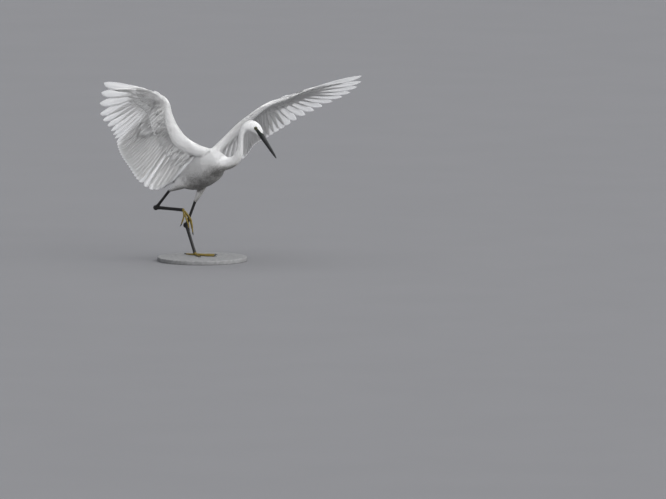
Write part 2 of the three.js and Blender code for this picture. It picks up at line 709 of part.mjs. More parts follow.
// Assembly
addNode('stand_base', solid(baseDisc), greyStone);
let torso = partAt(torsoWhole, tailPlane[0], tailPlane[1], false);
torso = partAt(torso, neckPlane[0], neckPlane[1], false);
addNode('torso', torso, whiteFeather);
addNode('tail', tail, whiteFeather);
const neckRise = partAt(neckWhole, neckPlane[0], neckPlane[1], true);
addNode('neck_lower', partAt(neckRise, neckMiddle[0], neckMiddle[1], false), whiteFeather);
const neckTop = partAt(neckRise, neckMiddle[0], neckMiddle[1], true);
addNode('neck_upper', partAt(neckTop, napePlane[0], napePlane[1], false), whiteFeather);
addNode('head', head, whiteFeather);
addNode('bill_upper', billUpper, blackHorn);
addNode('bill_lower', billLower, blackHorn);
addNode('eye_left', eyeBall(1, 0), yellowEye);
addNode('eye_right', eyeBall(-1, 0), yellowEye);

Object.keys(WINGS).forEach((side) => {
  Object.entries(wingNodes(side)).forEach(([name, body]) => {
    addNode(`wing_${side}_${name}`, body, whiteFeather);
  });
});

Object.entries(LEGS).forEach(([side, leg]) => {
  const shin = leg.ankle.clone().sub(leg.feathered).normalize();
  const shank = leg.foot.clone().sub(leg.ankle).normalize();
  const bend = shin.clone().add(shank).normalize();
  const thigh = partAt(limb(leg.thigh, 12, 8, leg.up), leg.feathered, shin, false);
  addNode(`leg_${side}_thigh`, thigh.subtract(torsoClearance), whiteFeather);
  const tibia = partAt(bone(leg.feathered, leg.ankle, TIBIA_RADII, leg.up), leg.feathered, shin, true);
  addNode(`leg_${side}_tibia`, partAt(tibia, leg.ankle, bend, false), blackScale);
  const shaft = bone(leg.ankle, leg.foot, TARSUS_RADII, leg.up);
  const footStart = leg.foot.clone().addScaledVector(shank, -4);
  const tarsus = partAt(partAt(shaft, leg.ankle, bend, true), footStart, shank, false);
  addNode(`leg_${side}_tarsus`, tarsus, blackScale);
  const shaftClear = bone(leg.ankle, leg.foot, TARSUS_RADII, leg.up, JOINT_GAP)
    .intersect(blockBeyond(footStart, shank.clone().negate()));
  const toes = joined(Object.values(TOES[side]).map(toeTube)).subtract(shaftClear);
  addNode(`foot_${side}`, partAt(shaft, footStart, shank, true).add(toes), yellowScale);
  Object.entries(TOES[side]).forEach(([name, points]) => {
    addNode(`claw_${side}_${name}`, clawHorn(points, leg.foot), blackHorn);
  });
});

export default egret;
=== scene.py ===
"""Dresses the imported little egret: skin, plumage, horn, scale and base, on a pale studio floor."""

import logging
import math
from dataclasses import dataclass, field
from enum import Enum

import bmesh
import bpy
import numpy as np
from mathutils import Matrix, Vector
from mathutils.bvhtree import BVHTree


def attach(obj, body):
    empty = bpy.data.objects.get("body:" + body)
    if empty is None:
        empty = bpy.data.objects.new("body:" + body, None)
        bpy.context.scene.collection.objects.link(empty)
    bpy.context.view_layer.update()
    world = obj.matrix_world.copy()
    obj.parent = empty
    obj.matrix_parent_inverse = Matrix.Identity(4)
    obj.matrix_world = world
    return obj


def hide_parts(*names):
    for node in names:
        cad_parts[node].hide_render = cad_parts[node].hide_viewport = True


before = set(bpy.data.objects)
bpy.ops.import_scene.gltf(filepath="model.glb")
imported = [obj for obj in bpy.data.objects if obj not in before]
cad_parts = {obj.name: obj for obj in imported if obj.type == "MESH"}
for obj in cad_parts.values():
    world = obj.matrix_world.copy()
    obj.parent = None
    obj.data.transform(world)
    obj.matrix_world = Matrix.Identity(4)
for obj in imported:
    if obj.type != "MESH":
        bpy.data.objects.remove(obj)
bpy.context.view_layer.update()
LOG = logging.getLogger("egret")
MM = 0.001
TURN = 2 * math.pi
BAKE_MAP = "OFBake"
BAKE_PATCH = 0.003
VANE_MAP = "Vane"
Array = np.ndarray
Point = tuple[float, float, float]
Colour = tuple[float, float, float]
Material = bpy.types.Material
Piece = bpy.types.Object
Socket = bpy.types.NodeSocket
# Grey of the painted shade where the white plumage and skin face down.
PAINTED_SHADE = (0.17, 0.165, 0.155)
WHITE = (0.8, 0.79, 0.775)


class Side(Enum):
    """The two sides of the bird."""

    RIGHT = "right"
    LEFT = "left"


class Region(Enum):
    """Stretches of skin, each with its own coat."""

    BACK_AND_CHEST = "torso_front"
    RUMP_AND_BELLY = "torso_rear"
    NECK = "neck"
    HEAD = "head"
    THIGH_LEFT = "thigh_left"
    THIGH_RIGHT = "thigh_right"
    ARM_RIGHT = "arm_right"
    ARM_LEFT = "arm_left"
    TAIL = "tail"


def unit(v: Array) -> Array:
    """Returns a vector, or rows of vectors, scaled to length one."""
    return v / np.maximum(np.linalg.norm(v, axis=-1, keepdims=True), 1e-12)


def blend(a: float, b: float, t: float) -> float:
    """Returns a mix of two values, where t is the share of the second."""
    return a + (b - a) * t


def curve_at(points: Array, t: Array) -> Array:
    """Follows a smooth curve through points, as a centripetal spline.

    Args:
        points: Rows of points that the curve passes through.
        t: Shares of the way along, from 0 to 1, with equal steps from point to point.

    Returns:
        One row for each share.
    """
    last = len(points) - 1
    place = np.clip(np.atleast_1d(t), 0, 1) * last
    low = np.clip(np.floor(place).astype(int), 0, last - 1)
    share = (place - low)[:, None]
    padded = np.vstack([2 * points[0] - points[1], points, 2 * points[-1] - points[-2]])
    p0, p1, p2, p3 = (padded[low + k] for k in range(4))
    gaps = [np.sqrt(np.linalg.norm(b - a, axis=1, keepdims=True)) for a, b in ((p0, p1), (p1, p2), (p2, p3))]
    d1 = np.where(gaps[1] < 1e-4, 1.0, gaps[1])
    d0, d2 = (np.where(g < 1e-4, d1, g) for g in (gaps[0], gaps[2]))
    t1 = ((p1 - p0) / d0 - (p2 - p0) / (d0 + d1) + (p2 - p1) / d1) * d1
    t2 = ((p2 - p1) / d1 - (p3 - p1) / (d1 + d2) + (p3 - p2) / d2) * d1
    cubic = 2 * p1 - 2 * p2 + t1 + t2
    square = -3 * p1 + 3 * p2 - 2 * t1 - t2
    return p1 + t1 * share + square * share**2 + cubic * share**3


def strips(rows: int, around: int) -> Array:
    """Joins closed rings of points, each to the next.

    Args:
        rows: How many rings there are.
        around: Points in each ring.

    Returns:
        The quads.
    """
    k, after = np.arange(around), (np.arange(around) + 1) % around
    return np.vstack([np.column_stack([r * around + k, r * around + after, (r + 1) * around + after,
                                       (r + 1) * around + k]) for r in range(rows - 1)])


def settle(piece: Piece, slot: str, *nodes: str, outward: bool = False) -> Piece:
    """Puts a piece on the root, in place of CAD nodes.

    Args:
        piece: The piece.
        slot: The record's slot for its finish; not used.
        nodes: The CAD nodes that it stands for.
        outward: Whether its faces are first turned outward.

    Returns:
        The piece.
    """
    if outward:
        work = bmesh.new()
        work.from_mesh(piece.data)
        bmesh.ops.recalc_face_normals(work, faces=work.faces)
        work.to_mesh(piece.data)
        work.free()
    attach(piece, "root")
    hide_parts(*nodes)
    return piece


@dataclass
class MeshData:
    """Vertices, faces and maps gathered before one mesh is made."""

    verts: list[Array] = field(default_factory=list)
    faces: list[Array] = field(default_factory=list)
    marks: list[Array] = field(default_factory=list)
    bake: list[Array] = field(default_factory=list)
    vane: list[Array] = field(default_factory=list)
    count: int = 0

    def add(self, verts: Array, faces: Array, vane: Array | None = None, mark: float | Array = 0.0,
            bake: Array | None = None) -> None:
        """Adds closed forms.

        Args:
            verts: Their vertices in millimetres.
            faces: Their faces, all with the same number of corners.
            vane: The place of each vertex across and along the feather.
            mark: A value of the form's own, for its finish.
            bake: The place of each vertex on the bake map, which only the coats have.
        """
        self.verts.append(verts)
        self.faces.append(faces + self.count)
        self.vane.append(np.zeros((len(verts), 2)) if vane is None else vane)
        self.marks.append(np.broadcast_to(np.asarray(mark, float), (len(verts),)))
        if bake is not None:
            self.bake.append(bake)
        self.count += len(verts)

    def add_rings(self, verts: Array, around: int, vane: Array | None = None, mark: float | Array = 0.0,
                  flip: bool = False) -> None:
        """Adds rings of points as a form closed at both ends.

        Args:
            verts: The rings' points, then the middles of the first and the last end.
            around: Points in each ring.
            vane: The place of each vertex across and along.
            mark: A value for the finish.
            flip: Whether the faces are turned over.
        """
        rows = len(verts) // around
        k, after = np.arange(around), (np.arange(around) + 1) % around
        end = (rows - 1) * around
        first, last = np.full(around, rows * around), np.full(around, rows * around + 1)
        caps = np.vstack([np.column_stack([after, k, first]), np.column_stack([end + k, end + after, last])])
        way = -1 if flip else 1
        self.add(verts, strips(rows, around)[:, ::way], vane, mark)
        self.faces.append(caps[:, ::way] + self.count - len(verts))

    def build(self, name: str, material: Material) -> Piece:
        """Makes the mesh object in metres.

        Args:
            name: The piece's name.
            material: Its finish.

        Returns:
            The new object, smooth shaded.
        """
        verts = np.vstack(self.verts) * MM
        corner = np.concatenate([block.ravel() for block in self.faces])
        sizes = np.concatenate([np.full(len(block), block.shape[1]) for block in self.faces])
        mesh = bpy.data.meshes.new(name)
        mesh.vertices.add(len(verts))
        mesh.vertices.foreach_set("co", verts.astype(np.float32).ravel())
        mesh.loops.add(len(corner))
        mesh.loops.foreach_set("vertex_index", corner.astype(np.int32))
        mesh.polygons.add(len(sizes))
        mesh.polygons.foreach_set("loop_start", np.concatenate([[0], np.cumsum(sizes)[:-1]]).astype(np.int32))
        mesh.update(calc_edges=True)
        mesh.validate()
        for label, rows in ((BAKE_MAP, self.bake), (VANE_MAP, self.vane)):
            if rows:
                layer = mesh.uv_layers.new(name=label)
                layer.data.foreach_set("uv", np.vstack(rows)[corner].astype(np.float32).ravel())
        mark = mesh.attributes.new("mark", "FLOAT", "POINT")
        mark.data.foreach_set("value", np.concatenate(self.marks).astype(np.float32))
        mesh.shade_smooth()
        piece = bpy.data.objects.new(name, mesh)
        bpy.context.scene.collection.objects.link(piece)
        piece.data.materials.append(material)
        return piece


@dataclass(frozen=True)
class Limb:
    """A tube of changing oval section along stations of x, y, z, half high, half wide."""

    stations: tuple[tuple[float, ...], ...]
    up: Point = (0.0, 0.0, 1.0)

    def rows(self) -> Array:
        """Returns the stations as an array."""
        return np.array(self.stations, float)

    def point(self, t: Array) -> Array:
        """Returns the middle line at shares of the way along."""
        return curve_at(self.rows()[:, :3], t)

    def girth(self, t: Array) -> Array:
        """Returns half high and half wide at shares of the way along."""
        rows = self.rows()
        return curve_at(np.column_stack([rows[:, 3:5], np.zeros(len(rows))]), t)[:, :2]

    def surface(self, t: Array, angle: Array, grow: float = 0.0) -> Array:
        """Gives points on the tube.

        Args:
            t: Shares of the way along.
            angle: Angles round the tube, from its top.
            grow: How far outside the tube, in millimetres.

        Returns:
            One point for each share and angle.
        """
        t = np.atleast_1d(t)
        girth = np.maximum(self.girth(t) + grow, 0.2)
        along = unit(self.point(np.minimum(t + 1e-4, 1)) - self.point(np.maximum(t - 1e-4, 0)))
        side = unit(np.cross(along, np.array(self.up)))
        high = (girth[:, 0] * np.cos(angle))[:, None] * unit(np.cross(side, along))
        return self.point(t) + high + (girth[:, 1] * np.sin(angle))[:, None] * side

    def tube(self, sides: int, steps: int, grow: float = 0.0) -> tuple[Array, Array, Array]:
        """Gives the rings of the closed tube.

        Args:
            sides: Points round each ring.
            steps: Stretches between rings.
            grow: How far outside the stations, in millimetres.

        Returns:
            The points, ring by ring with the two ends last, their angles and their shares of the way.
        """
        t = np.repeat(np.linspace(0.0, 1.0, steps + 1), sides)
        angle = np.tile(np.arange(sides) * TURN / sides, steps + 1)
        verts = np.vstack([self.surface(t, angle, grow), self.point(np.array([0.0, 1.0]))])
        return verts, np.append(angle, [0, 0]), np.append(t, [0, 1])

    def add_to(self, data: MeshData, sides: int, steps: int, grow: float = 0.0) -> None:
        """Adds the closed tube to a mesh.

        Args:
            data: The mesh that grows.
            sides: Points round each ring.
            steps: Stretches between rings.
            grow: How far outside the stations, in millimetres.
        """
        verts, angle, share = self.tube(sides, steps, grow)
        data.add_rings(verts, sides, np.column_stack([angle / TURN, share]), flip=True)


TORSO = Limb((
    (-100, 0, 236, 19, 22), (-72, 0, 242, 38, 34), (-38, 0, 252.5, 52, 43), (0, 0, 269, 56.5, 47),
    (34, 0, 281, 51, 46), (60, -3, 288, 37, 37), (78, -3, 289, 26, 27), (90, -2, 289, 21, 21),
))
NECK = Limb((
    (72, -3, 289, 29, 30), (84, -2, 289, 23.5, 23.5), (100, 1, 289.5, 18.5, 18.5), (121, 6, 300, 15.5, 15.5),
    (134, 8, 320, 12.5, 12.5), (139, 8, 343, 10, 10), (141, 8, 366, 9.2, 9.2), (145, 11, 386, 10, 10.5),
    (153, 17, 398, 11.5, 13), (160, 23, 402, 12, 14),
), (-0.35, 1, 0))
HEAD_FORWARD = unit(np.array([0.35, 0.43, -0.84]))
HEAD_SIDE = unit(np.cross([0, 0, 1], HEAD_FORWARD))
HEAD_TOP = np.cross(HEAD_FORWARD, HEAD_SIDE)
HEAD = Limb((
    (144, 10, 388, 8, 8), (151, 16, 396.5, 12.5, 11.5), (162, 25, 401, 16.8, 14.2),
    (171.5, 33.5, 395.5, 17, 15.4), (179, 42.5, 384, 13.2, 12.4), (184, 49, 372, 8.4, 7.4),
    (187, 53, 365, 6.5, 5.2),
), tuple(HEAD_TOP))
FACE_END = np.array([184, 49.2, 372.0])
EYE_MIDDLE = np.array([172.2, 33.8, 394.2])
TAIL_STUB = Limb((
    (-90, 0, 239, 24, 26), (-98, 0, 236.5, 20, 22.5), (-106, 0, 234, 14, 18), (-118, 0, 227, 7, 13),
))
THIGHS = {
    Side.LEFT: Limb(((-18, 24, 250, 18, 16), (-22, 27, 222, 17, 14), (-33, 24.5, 191, 10.5, 9.5),
                     (-44, 20.5, 169, 6.3, 6), (-46.5, 19.6, 163, 4, 4)), (1, 0, 0.3)),
    Side.RIGHT: Limb(((-32, -27, 236, 24, 15), (-58, -31, 222, 18, 12.5), (-82, -31, 209, 10.5, 8.5),
                      (-99, -30, 201, 6.2, 6), (-103, -29.6, 198, 4, 4)), (0.3, 0, 1)),
}
JOINT_GAP = 0.32
BASE_HEIGHT = 12.0


@dataclass(frozen=True)
class WingLay:
    """Where one wing's arm and feather tips are, in millimetres."""

    side: Side
    arm: Limb
    tips: tuple[tuple[float, ...], ...]
    wrist_roll: float

    def nodes(self) -> list[str]:
        """Returns the wing's CAD nodes."""
        return [f"wing_{self.side.value}_{part}" for part in ("hand", "forearm", "upper_arm")]


WINGS = {
    Side.RIGHT: WingLay(Side.RIGHT, Limb((
        (35, -14, 314, 13, 18), (17, -44, 326, 12, 19), (-12, -80, 352, 10.5, 23),
        (-27, -99, 390, 8.5, 19), (-35, -109, 431, 7.5, 14), (-39, -115, 468, 7, 10.5),
        (-43, -146, 489, 5.5, 8.5), (-44, -175, 500, 4.8, 6.5), (-45, -200, 509, 3.4, 4),
    ), (-0.78, 0.56, 0.26)), (
        (0, -44, -380, 541), (1, -51, -383, 513), (3, -79, -357, 448), (6, -98, -288, 393),
        (9, -129, -229, 353), (13, -134, -205, 316), (17, -122, -184, 280), (21, -104, -162, 238),
        (23, -80, -132, 212), (26, -62, -86, 232)), 0.4),
    Side.LEFT: WingLay(Side.LEFT, Limb((
        (29, 14, 314, 13, 18), (44, 46, 344, 12, 19), (75, 81, 388, 10.5, 23),
        (99, 99, 415, 8.5, 19), (126, 119, 442, 7.5, 14), (147, 135, 457, 7, 10.5),
        (178, 165, 471, 5.5, 8.5), (196, 184, 481, 4.8, 6.5), (211, 199, 488, 3.4, 4),
    ), (-0.64, 0.04, 0.77)), (
        (0, 338, 315, 536), (1, 321, 334, 517), (3, 265, 352, 481), (6, 175, 332, 436),
        (9, 106, 297, 395), (13, 44, 245, 346), (17, 12, 219, 322), (21, -8, 201, 286),
        (23, -25, 165, 262), (26, -40, 88, 262)), 0.06),
}
ELBOW_STATION = 2.5
WRIST_STATION = 5.15
FINGERTIP_STATION = 7.7
SHOULDER_STATION = 0.95
ROOT_MARGIN = 0.13
ROOT_REACH = 0.25
PRIMARIES = 10
SECONDARIES = 12
TERTIALS = 5
FLIGHT_FEATHERS = PRIMARIES + SECONDARIES + TERTIALS
FEATHER_WIDTHS = ((0, 7, 19), (2, 9, 22), (5, 10, 20), (9, 9, 17), (16, 9, 17), (20, 9, 14), (22, 10, 15),
                  (24, 13, 18), (26, 13, 18))
VANE_ROLL = 0.09
VANE_BEND = 0.025
VANE_COLUMNS = np.array([1.0, 0.7, 0.35, 0.06, -0.06, -0.35, -0.7, -1.0])
VANE_SHAFT = np.array([0, 0, 0, 1, 1, 0, 0, 0.0])
LEAST_MARK = 0.65
FLIGHT_SEED = 100
COVERT_SEED = 300
COVERT_ROW_SEED = 50
THUMB_SEED = 600
TAIL_SEED = 700
TAIL_COVERT_SEED = 720
COAT_SEED = 11


@dataclass(frozen=True)
class VaneShape:
    """The outline of a feather: leading and trailing width as shares, at stations along it."""

    stations: tuple[float, ...]
    leading: tuple[float, ...]
    trailing: tuple[float, ...]


PRIMARY_SHAPE = VaneShape((0, 0.06, 0.2, 0.6, 0.85, 0.94, 0.98, 1),
                          (0.2, 0.4, 0.85, 1, 0.78, 0.5, 0.26, 0.04),
                          (0.15, 0.35, 0.75, 1, 0.86, 0.56, 0.3, 0.04))
SECONDARY_SHAPE = VaneShape((0, 0.06, 0.25, 0.6, 0.88, 0.96, 0.99, 1),
                            (0.2, 0.45, 0.9, 1, 0.97, 0.75, 0.42, 0.06),
                            (0.2, 0.4, 0.8, 1, 0.95, 0.72, 0.4, 0.05))
COVERT_SHAPE = VaneShape((0, 0.15, 0.5, 0.8, 0.93, 0.98, 1), (0.25, 0.6, 1, 1, 0.74, 0.4, 0.06),
                         (0.25, 0.6, 1, 1, 0.72, 0.4, 0.05))


@dataclass(frozen=True)
class Vane:
    """One flight or covert feather, from its root to its tip."""

    root: Array
    tip: Array
    lead: Array
    dorsal: Array
    lead_width: float
    trail_width: float
    shape: VaneShape
    roll: float = VANE_ROLL
    bend: float = VANE_BEND
    steps: int = 22
    thick: float = 0.32
    ragged: float = 0.03
    shaft: float = 0.45
    shaft_end: float = 0.12
    edge_thinning: float = 0.75
    tip_thinning: float = 0.35
    camber: float = 0.03
    tip_crowding: float = 1.5

    def add_to(self, data: MeshData, mark: float, seed: int) -> None:
        """Adds the feather to a mesh as one thin closed vane with a raised shaft.

        Args:
            data: The mesh that grows.
            mark: The feather's own value for its finish, from 0 to 1.
            seed: Seeds the feather's small irregularities.
        """
        rng = np.random.default_rng(seed)
        along = self.tip - self.root
        length = float(np.linalg.norm(along))
        along = along / length
        across = unit(self.lead - along * float(self.lead @ along))
        normal = np.cross(along, across)
        if normal @ self.dorsal < 0:
            normal = -normal
        rolled = across * math.cos(self.roll) + normal * math.sin(self.roll)
        raised = normal * math.cos(self.roll) - across * math.sin(self.roll)
        t = 1 - (1 - np.linspace(0, 1, self.steps + 1))**self.tip_crowding
        down = t[:, None]
        leading = np.interp(t, self.shape.stations, self.shape.leading) * self.lead_width
        trailing = np.interp(t, self.shape.stations, self.shape.trailing) * self.trail_width
        for edge in (leading, trailing):
            edge[1:-1] *= 1 + rng.uniform(-self.ragged, self.ragged, self.steps - 1)
        wide = np.where(VANE_COLUMNS > 0, leading[:, None], trailing[:, None]) * VANE_COLUMNS
        thin = 1 - self.edge_thinning * np.abs(VANE_COLUMNS)**3
        half = self.thick / 2 * thin * (1 - self.tip_thinning * down)
        half = half + VANE_SHAFT * (self.shaft * (1 - down) + self.shaft_end)
        sunk = -VANE_COLUMNS**2 * ((leading + trailing)[:, None] * self.camber)
        centre = self.root + along * (length * t)[:, None]
        centre = centre + normal * (self.bend * length * 4 * t * (1 - t))[:, None]
        spread = centre[:, None, :] + wide[..., None] * rolled
        top, under = (spread + (sunk + face * half)[..., None] * raised for face in (1, -1))
        around = 2 * len(VANE_COLUMNS)
        inner = np.arange(len(VANE_COLUMNS) - 1)
        cap = np.column_stack([inner, around - 1 - inner, around - 2 - inner, inner + 1])
        faces = np.vstack([strips(self.steps + 1, around), cap, self.steps * around + cap[:, ::-1]])
        if np.dot(np.cross(along, rolled), raised) > 0:
            faces = faces[:, ::-1]
        columns = np.concatenate([VANE_COLUMNS, VANE_COLUMNS[::-1]]) * 0.5 + 0.5
        uv = np.column_stack([np.tile(columns, self.steps + 1), np.repeat(t, around)])
        verts = np.concatenate([top, under[:, ::-1]], axis=1).reshape(-1, 3)
        data.add(verts, faces, uv, LEAST_MARK + (1 - LEAST_MARK) * mark)


@dataclass(frozen=True)
class Tier:
    """One row of coverts: its feathers' share of the flight feathers, rise, spacing, width and inset."""

    share: float
    lift: float
    step: float
    wider: float
    sink: float


UPPER_TIERS = (Tier(0.42, 1.6, 1.0, 0.9, 0), Tier(0.27, 2.6, 0.75, 0.8, 3), Tier(0.17, 3.6, 0.5, 0.7, 5))
UNDER_TIERS = (Tier(0.34, 0.9, 1.0, 0.9, 0), Tier(0.23, 1.4, 0.75, 0.8, 3), Tier(0.15, 2.0, 0.5, 0.7, 5))


@dataclass
class Wing:
    """One wing's feathers: flight feathers, three covert tiers on both faces, and the alula."""

    lay: WingLay
    inner_feathers: int = 21
    mark_step: float = 0.618
    mark_cycle: int = 7
    roll_share: float = 0.3
    roll_reach: float = 2.5
    flight_steps: int = 34
    covert_steps: int = 12
    covert_thick: float = 0.3
    covert_ragged: float = 0.05
    covert_rise: float = 0.8
    covert_offset: float = 0.35
    covert_heights: tuple[float, ...] = (0.4, 0.6, 0.8)
    covert_height_limit: float = 8.0
    lead_wider: float = 1.1
    thumb_feathers: int = 3
    thumb_length: float = 44.0
    thumb_shortening: float = 7.0
    thumb_spacing: float = 2.5
    thumb_stations: tuple[float, float] = (0.35, 2.2)
    thumb_rise: float = 1.2
    thumb_sink: float = 0.5
    thumb_bend: float = 0.01
    thumb_steps: int = 16
    thumb_widths: tuple[float, float] = (5.0, 7.0)

    def station(self, feather: float) -> float:
        """Finds where a feather is rooted.

        Args:
            feather: Its number, from the outermost.

        Returns:
            The place along the arm's stations.
        """
        if feather < PRIMARIES - 0.5:
            return blend(FINGERTIP_STATION, WRIST_STATION + ROOT_MARGIN, feather / (PRIMARIES - 1))
        if feather < PRIMARIES + SECONDARIES - 0.5:
            share = (feather - PRIMARIES) / (SECONDARIES - 1)
            return blend(WRIST_STATION - ROOT_MARGIN, ELBOW_STATION + ROOT_MARGIN, share)
        share = (feather - PRIMARIES - SECONDARIES) / (TERTIALS - 1)
        return blend(ELBOW_STATION - ROOT_MARGIN, SHOULDER_STATION, share)

    def arm_point(self, station: float) -> Array:
        """Returns the arm's middle line at a station."""
        return self.lay.arm.point(np.array([station / (len(self.lay.arm.stations) - 1)]))[0]

    def arm_girth(self, station: float) -> Array:
        """Returns the arm's half height and half width at a station."""
        rows = self.lay.arm.rows()
        return np.array([np.interp(station, np.arange(len(rows)), rows[:, k]) for k in (3, 4)])

    def tip(self, feather: float) -> Array:
        """Finds the tip of a flight feather.

        Args:
            feather: Its number, from the outermost.

        Returns:
            The point.
        """
        tips = np.array(self.lay.tips, float)
        place = np.interp(feather, tips[:, 0], np.arange(len(tips))) / (len(tips) - 1)
        return curve_at(tips[:, 1:], np.array([place]))[0]

    def root(self, feather: float) -> Array:
        """Finds the root of a flight feather, a little way out of the arm.

        Args:
            feather: Its number, from the outermost.

        Returns:
            The point.
        """
        station = self.station(feather)
        root = self.arm_point(station)
        return root + unit(self.tip(feather) - root) * self.arm_girth(station)[1] * ROOT_REACH

    def lay_of(self, feather: float) -> tuple[Array, Array, Array, Array]:
        """Finds how a flight feather lies.

        Args:
            feather: Its number, from the outermost.

        Returns:
            Its root, its tip, the direction of its leading edge and its dorsal direction.
        """
        root, tip = self.root(feather), self.tip(feather)
        near, far = max(0.0, feather - 2), min(FLIGHT_FEATHERS - 1.0, feather + 2)
        lead = self.root(near) + 2 * self.tip(near) - self.root(far) - 2 * self.tip(far)
        along = unit(tip - root)
        lead = unit(lead - along * float(lead @ along))
        dorsal = unit(np.cross(along, lead))
        if dorsal @ np.array(self.lay.arm.up) < 0:
            dorsal = -dorsal
        return root, tip, lead, dorsal

    def widths(self, feather: float) -> tuple[float, float]:
        """Returns the leading and trailing width of a flight feather."""
        rows = np.array(FEATHER_WIDTHS, float)
        return tuple(float(np.interp(feather, rows[:, 0], rows[:, k])) for k in (1, 2))

    def roll(self, feather: float) -> float:
        """Returns a feather's roll, more near the wrist."""
        near = max(0.0, 1 - abs(feather - PRIMARIES + 1) / self.roll_reach)
        return VANE_ROLL + self.roll_share * self.lay.wrist_roll * near

    def flight(self, data: MeshData) -> None:
        """Adds the flight feathers.

        Args:
            data: The mesh that grows.
        """
        inner = np.linspace(PRIMARIES, FLIGHT_FEATHERS - 1, self.inner_feathers)
        for k, number in enumerate([*range(PRIMARIES), *inner]):
            shape = PRIMARY_SHAPE if number < PRIMARIES else SECONDARY_SHAPE
            Vane(*self.lay_of(number), *self.widths(number), shape, self.roll(number), VANE_BEND,
                 self.flight_steps).add_to(data, (k * self.mark_step) % 1, FLIGHT_SEED + k)

    def coverts(self, data: MeshData, face: int) -> None:
        """Adds three tiers of coverts on one face of the wing.

        Args:
            data: The mesh that grows.
            face: 1 for the back of the wing, -1 for its under side.
        """
        for row, tier in enumerate(UPPER_TIERS if face > 0 else UNDER_TIERS):
            for k in range(int((FLIGHT_FEATHERS - 1) / tier.step)):
                feather = k * tier.step + self.covert_offset
                root, tip, lead, dorsal = self.lay_of(feather)
                leading, trailing = self.widths(feather)
                height = self.arm_girth(self.station(feather))[0]
                bow = VANE_BEND * float(np.linalg.norm(tip - root)) * 4 * tier.share * (1 - tier.share)
                end = root + (tip - root) * tier.share + dorsal * (face * tier.lift * self.covert_rise + bow)
                start = root - unit(tip - root) * tier.sink
                start = start + dorsal * face * min(height * self.covert_heights[row], self.covert_height_limit)
                Vane(start, end, lead, dorsal, leading * tier.wider * self.lead_wider, trailing * tier.wider,
                     COVERT_SHAPE, self.roll(feather), VANE_BEND * tier.share, self.covert_steps,
                     self.covert_thick, self.covert_ragged).add_to(
                         data, (k % self.mark_cycle) / self.mark_cycle, COVERT_SEED + COVERT_ROW_SEED * row + k)

    def flow(self, t: Array) -> Array:
        """Finds the way that the small feathers lie.

        Args:
            t: Shares of the way along the arm.

        Returns:
            One direction for each share.
        """
        last = len(self.lay.arm.stations) - 1
        numbers = np.linspace(0, FLIGHT_FEATHERS - 1, 2 * FLIGHT_FEATHERS)
        stations = np.array([self.station(n) for n in numbers])
        ways = np.array([unit(self.tip(n) - self.root(n)) for n in numbers])
        order = np.argsort(stations)
        return unit(np.column_stack([np.interp(t * last, stations[order], ways[order, k]) for k in range(3)]))

    def alula(self, data: MeshData) -> None:
        """Adds the feathers of the thumb.

        Args:
            data: The mesh that grows.
        """
        start, end = (self.arm_point(WRIST_STATION + further) for further in self.thumb_stations)
        toward = unit(end - start)
        _, _, lead, dorsal = self.lay_of(0)
        outward = unit(lead - toward * float(lead @ toward))
        for k in range(self.thumb_feathers):
            root = start + outward * self.thumb_spacing + dorsal * (k * self.thumb_rise - self.thumb_sink)
            tip = root + toward * (self.thumb_length - self.thumb_shortening * k) + outward * self.thumb_spacing
            tip = tip + dorsal * k
            Vane(root, tip, outward, dorsal, *self.thumb_widths, COVERT_SHAPE, VANE_ROLL, self.thumb_bend,
                 self.thumb_steps).add_to(data, k / self.thumb_feathers, THUMB_SEED + k)

    def build(self, finish: Material) -> list[Piece]:
        """Builds the wing's pieces.

        Args:
            finish: The feathers' material.

        Returns:
            The flight feathers, the upper coverts and the under coverts.
        """
        flight, upper, under = MeshData(), MeshData(), MeshData()
        self.flight(flight)
        self.alula(upper)
        self.coverts(upper, 1)
        self.coverts(under, -1)
        named = (("flight", flight), ("upper_coverts", upper), ("under_coverts", under))
        return [settle(data.build(f"wing_{self.lay.side.value}_{label}", finish), "white_feather", *self.lay.nodes())
                for label, data in named]


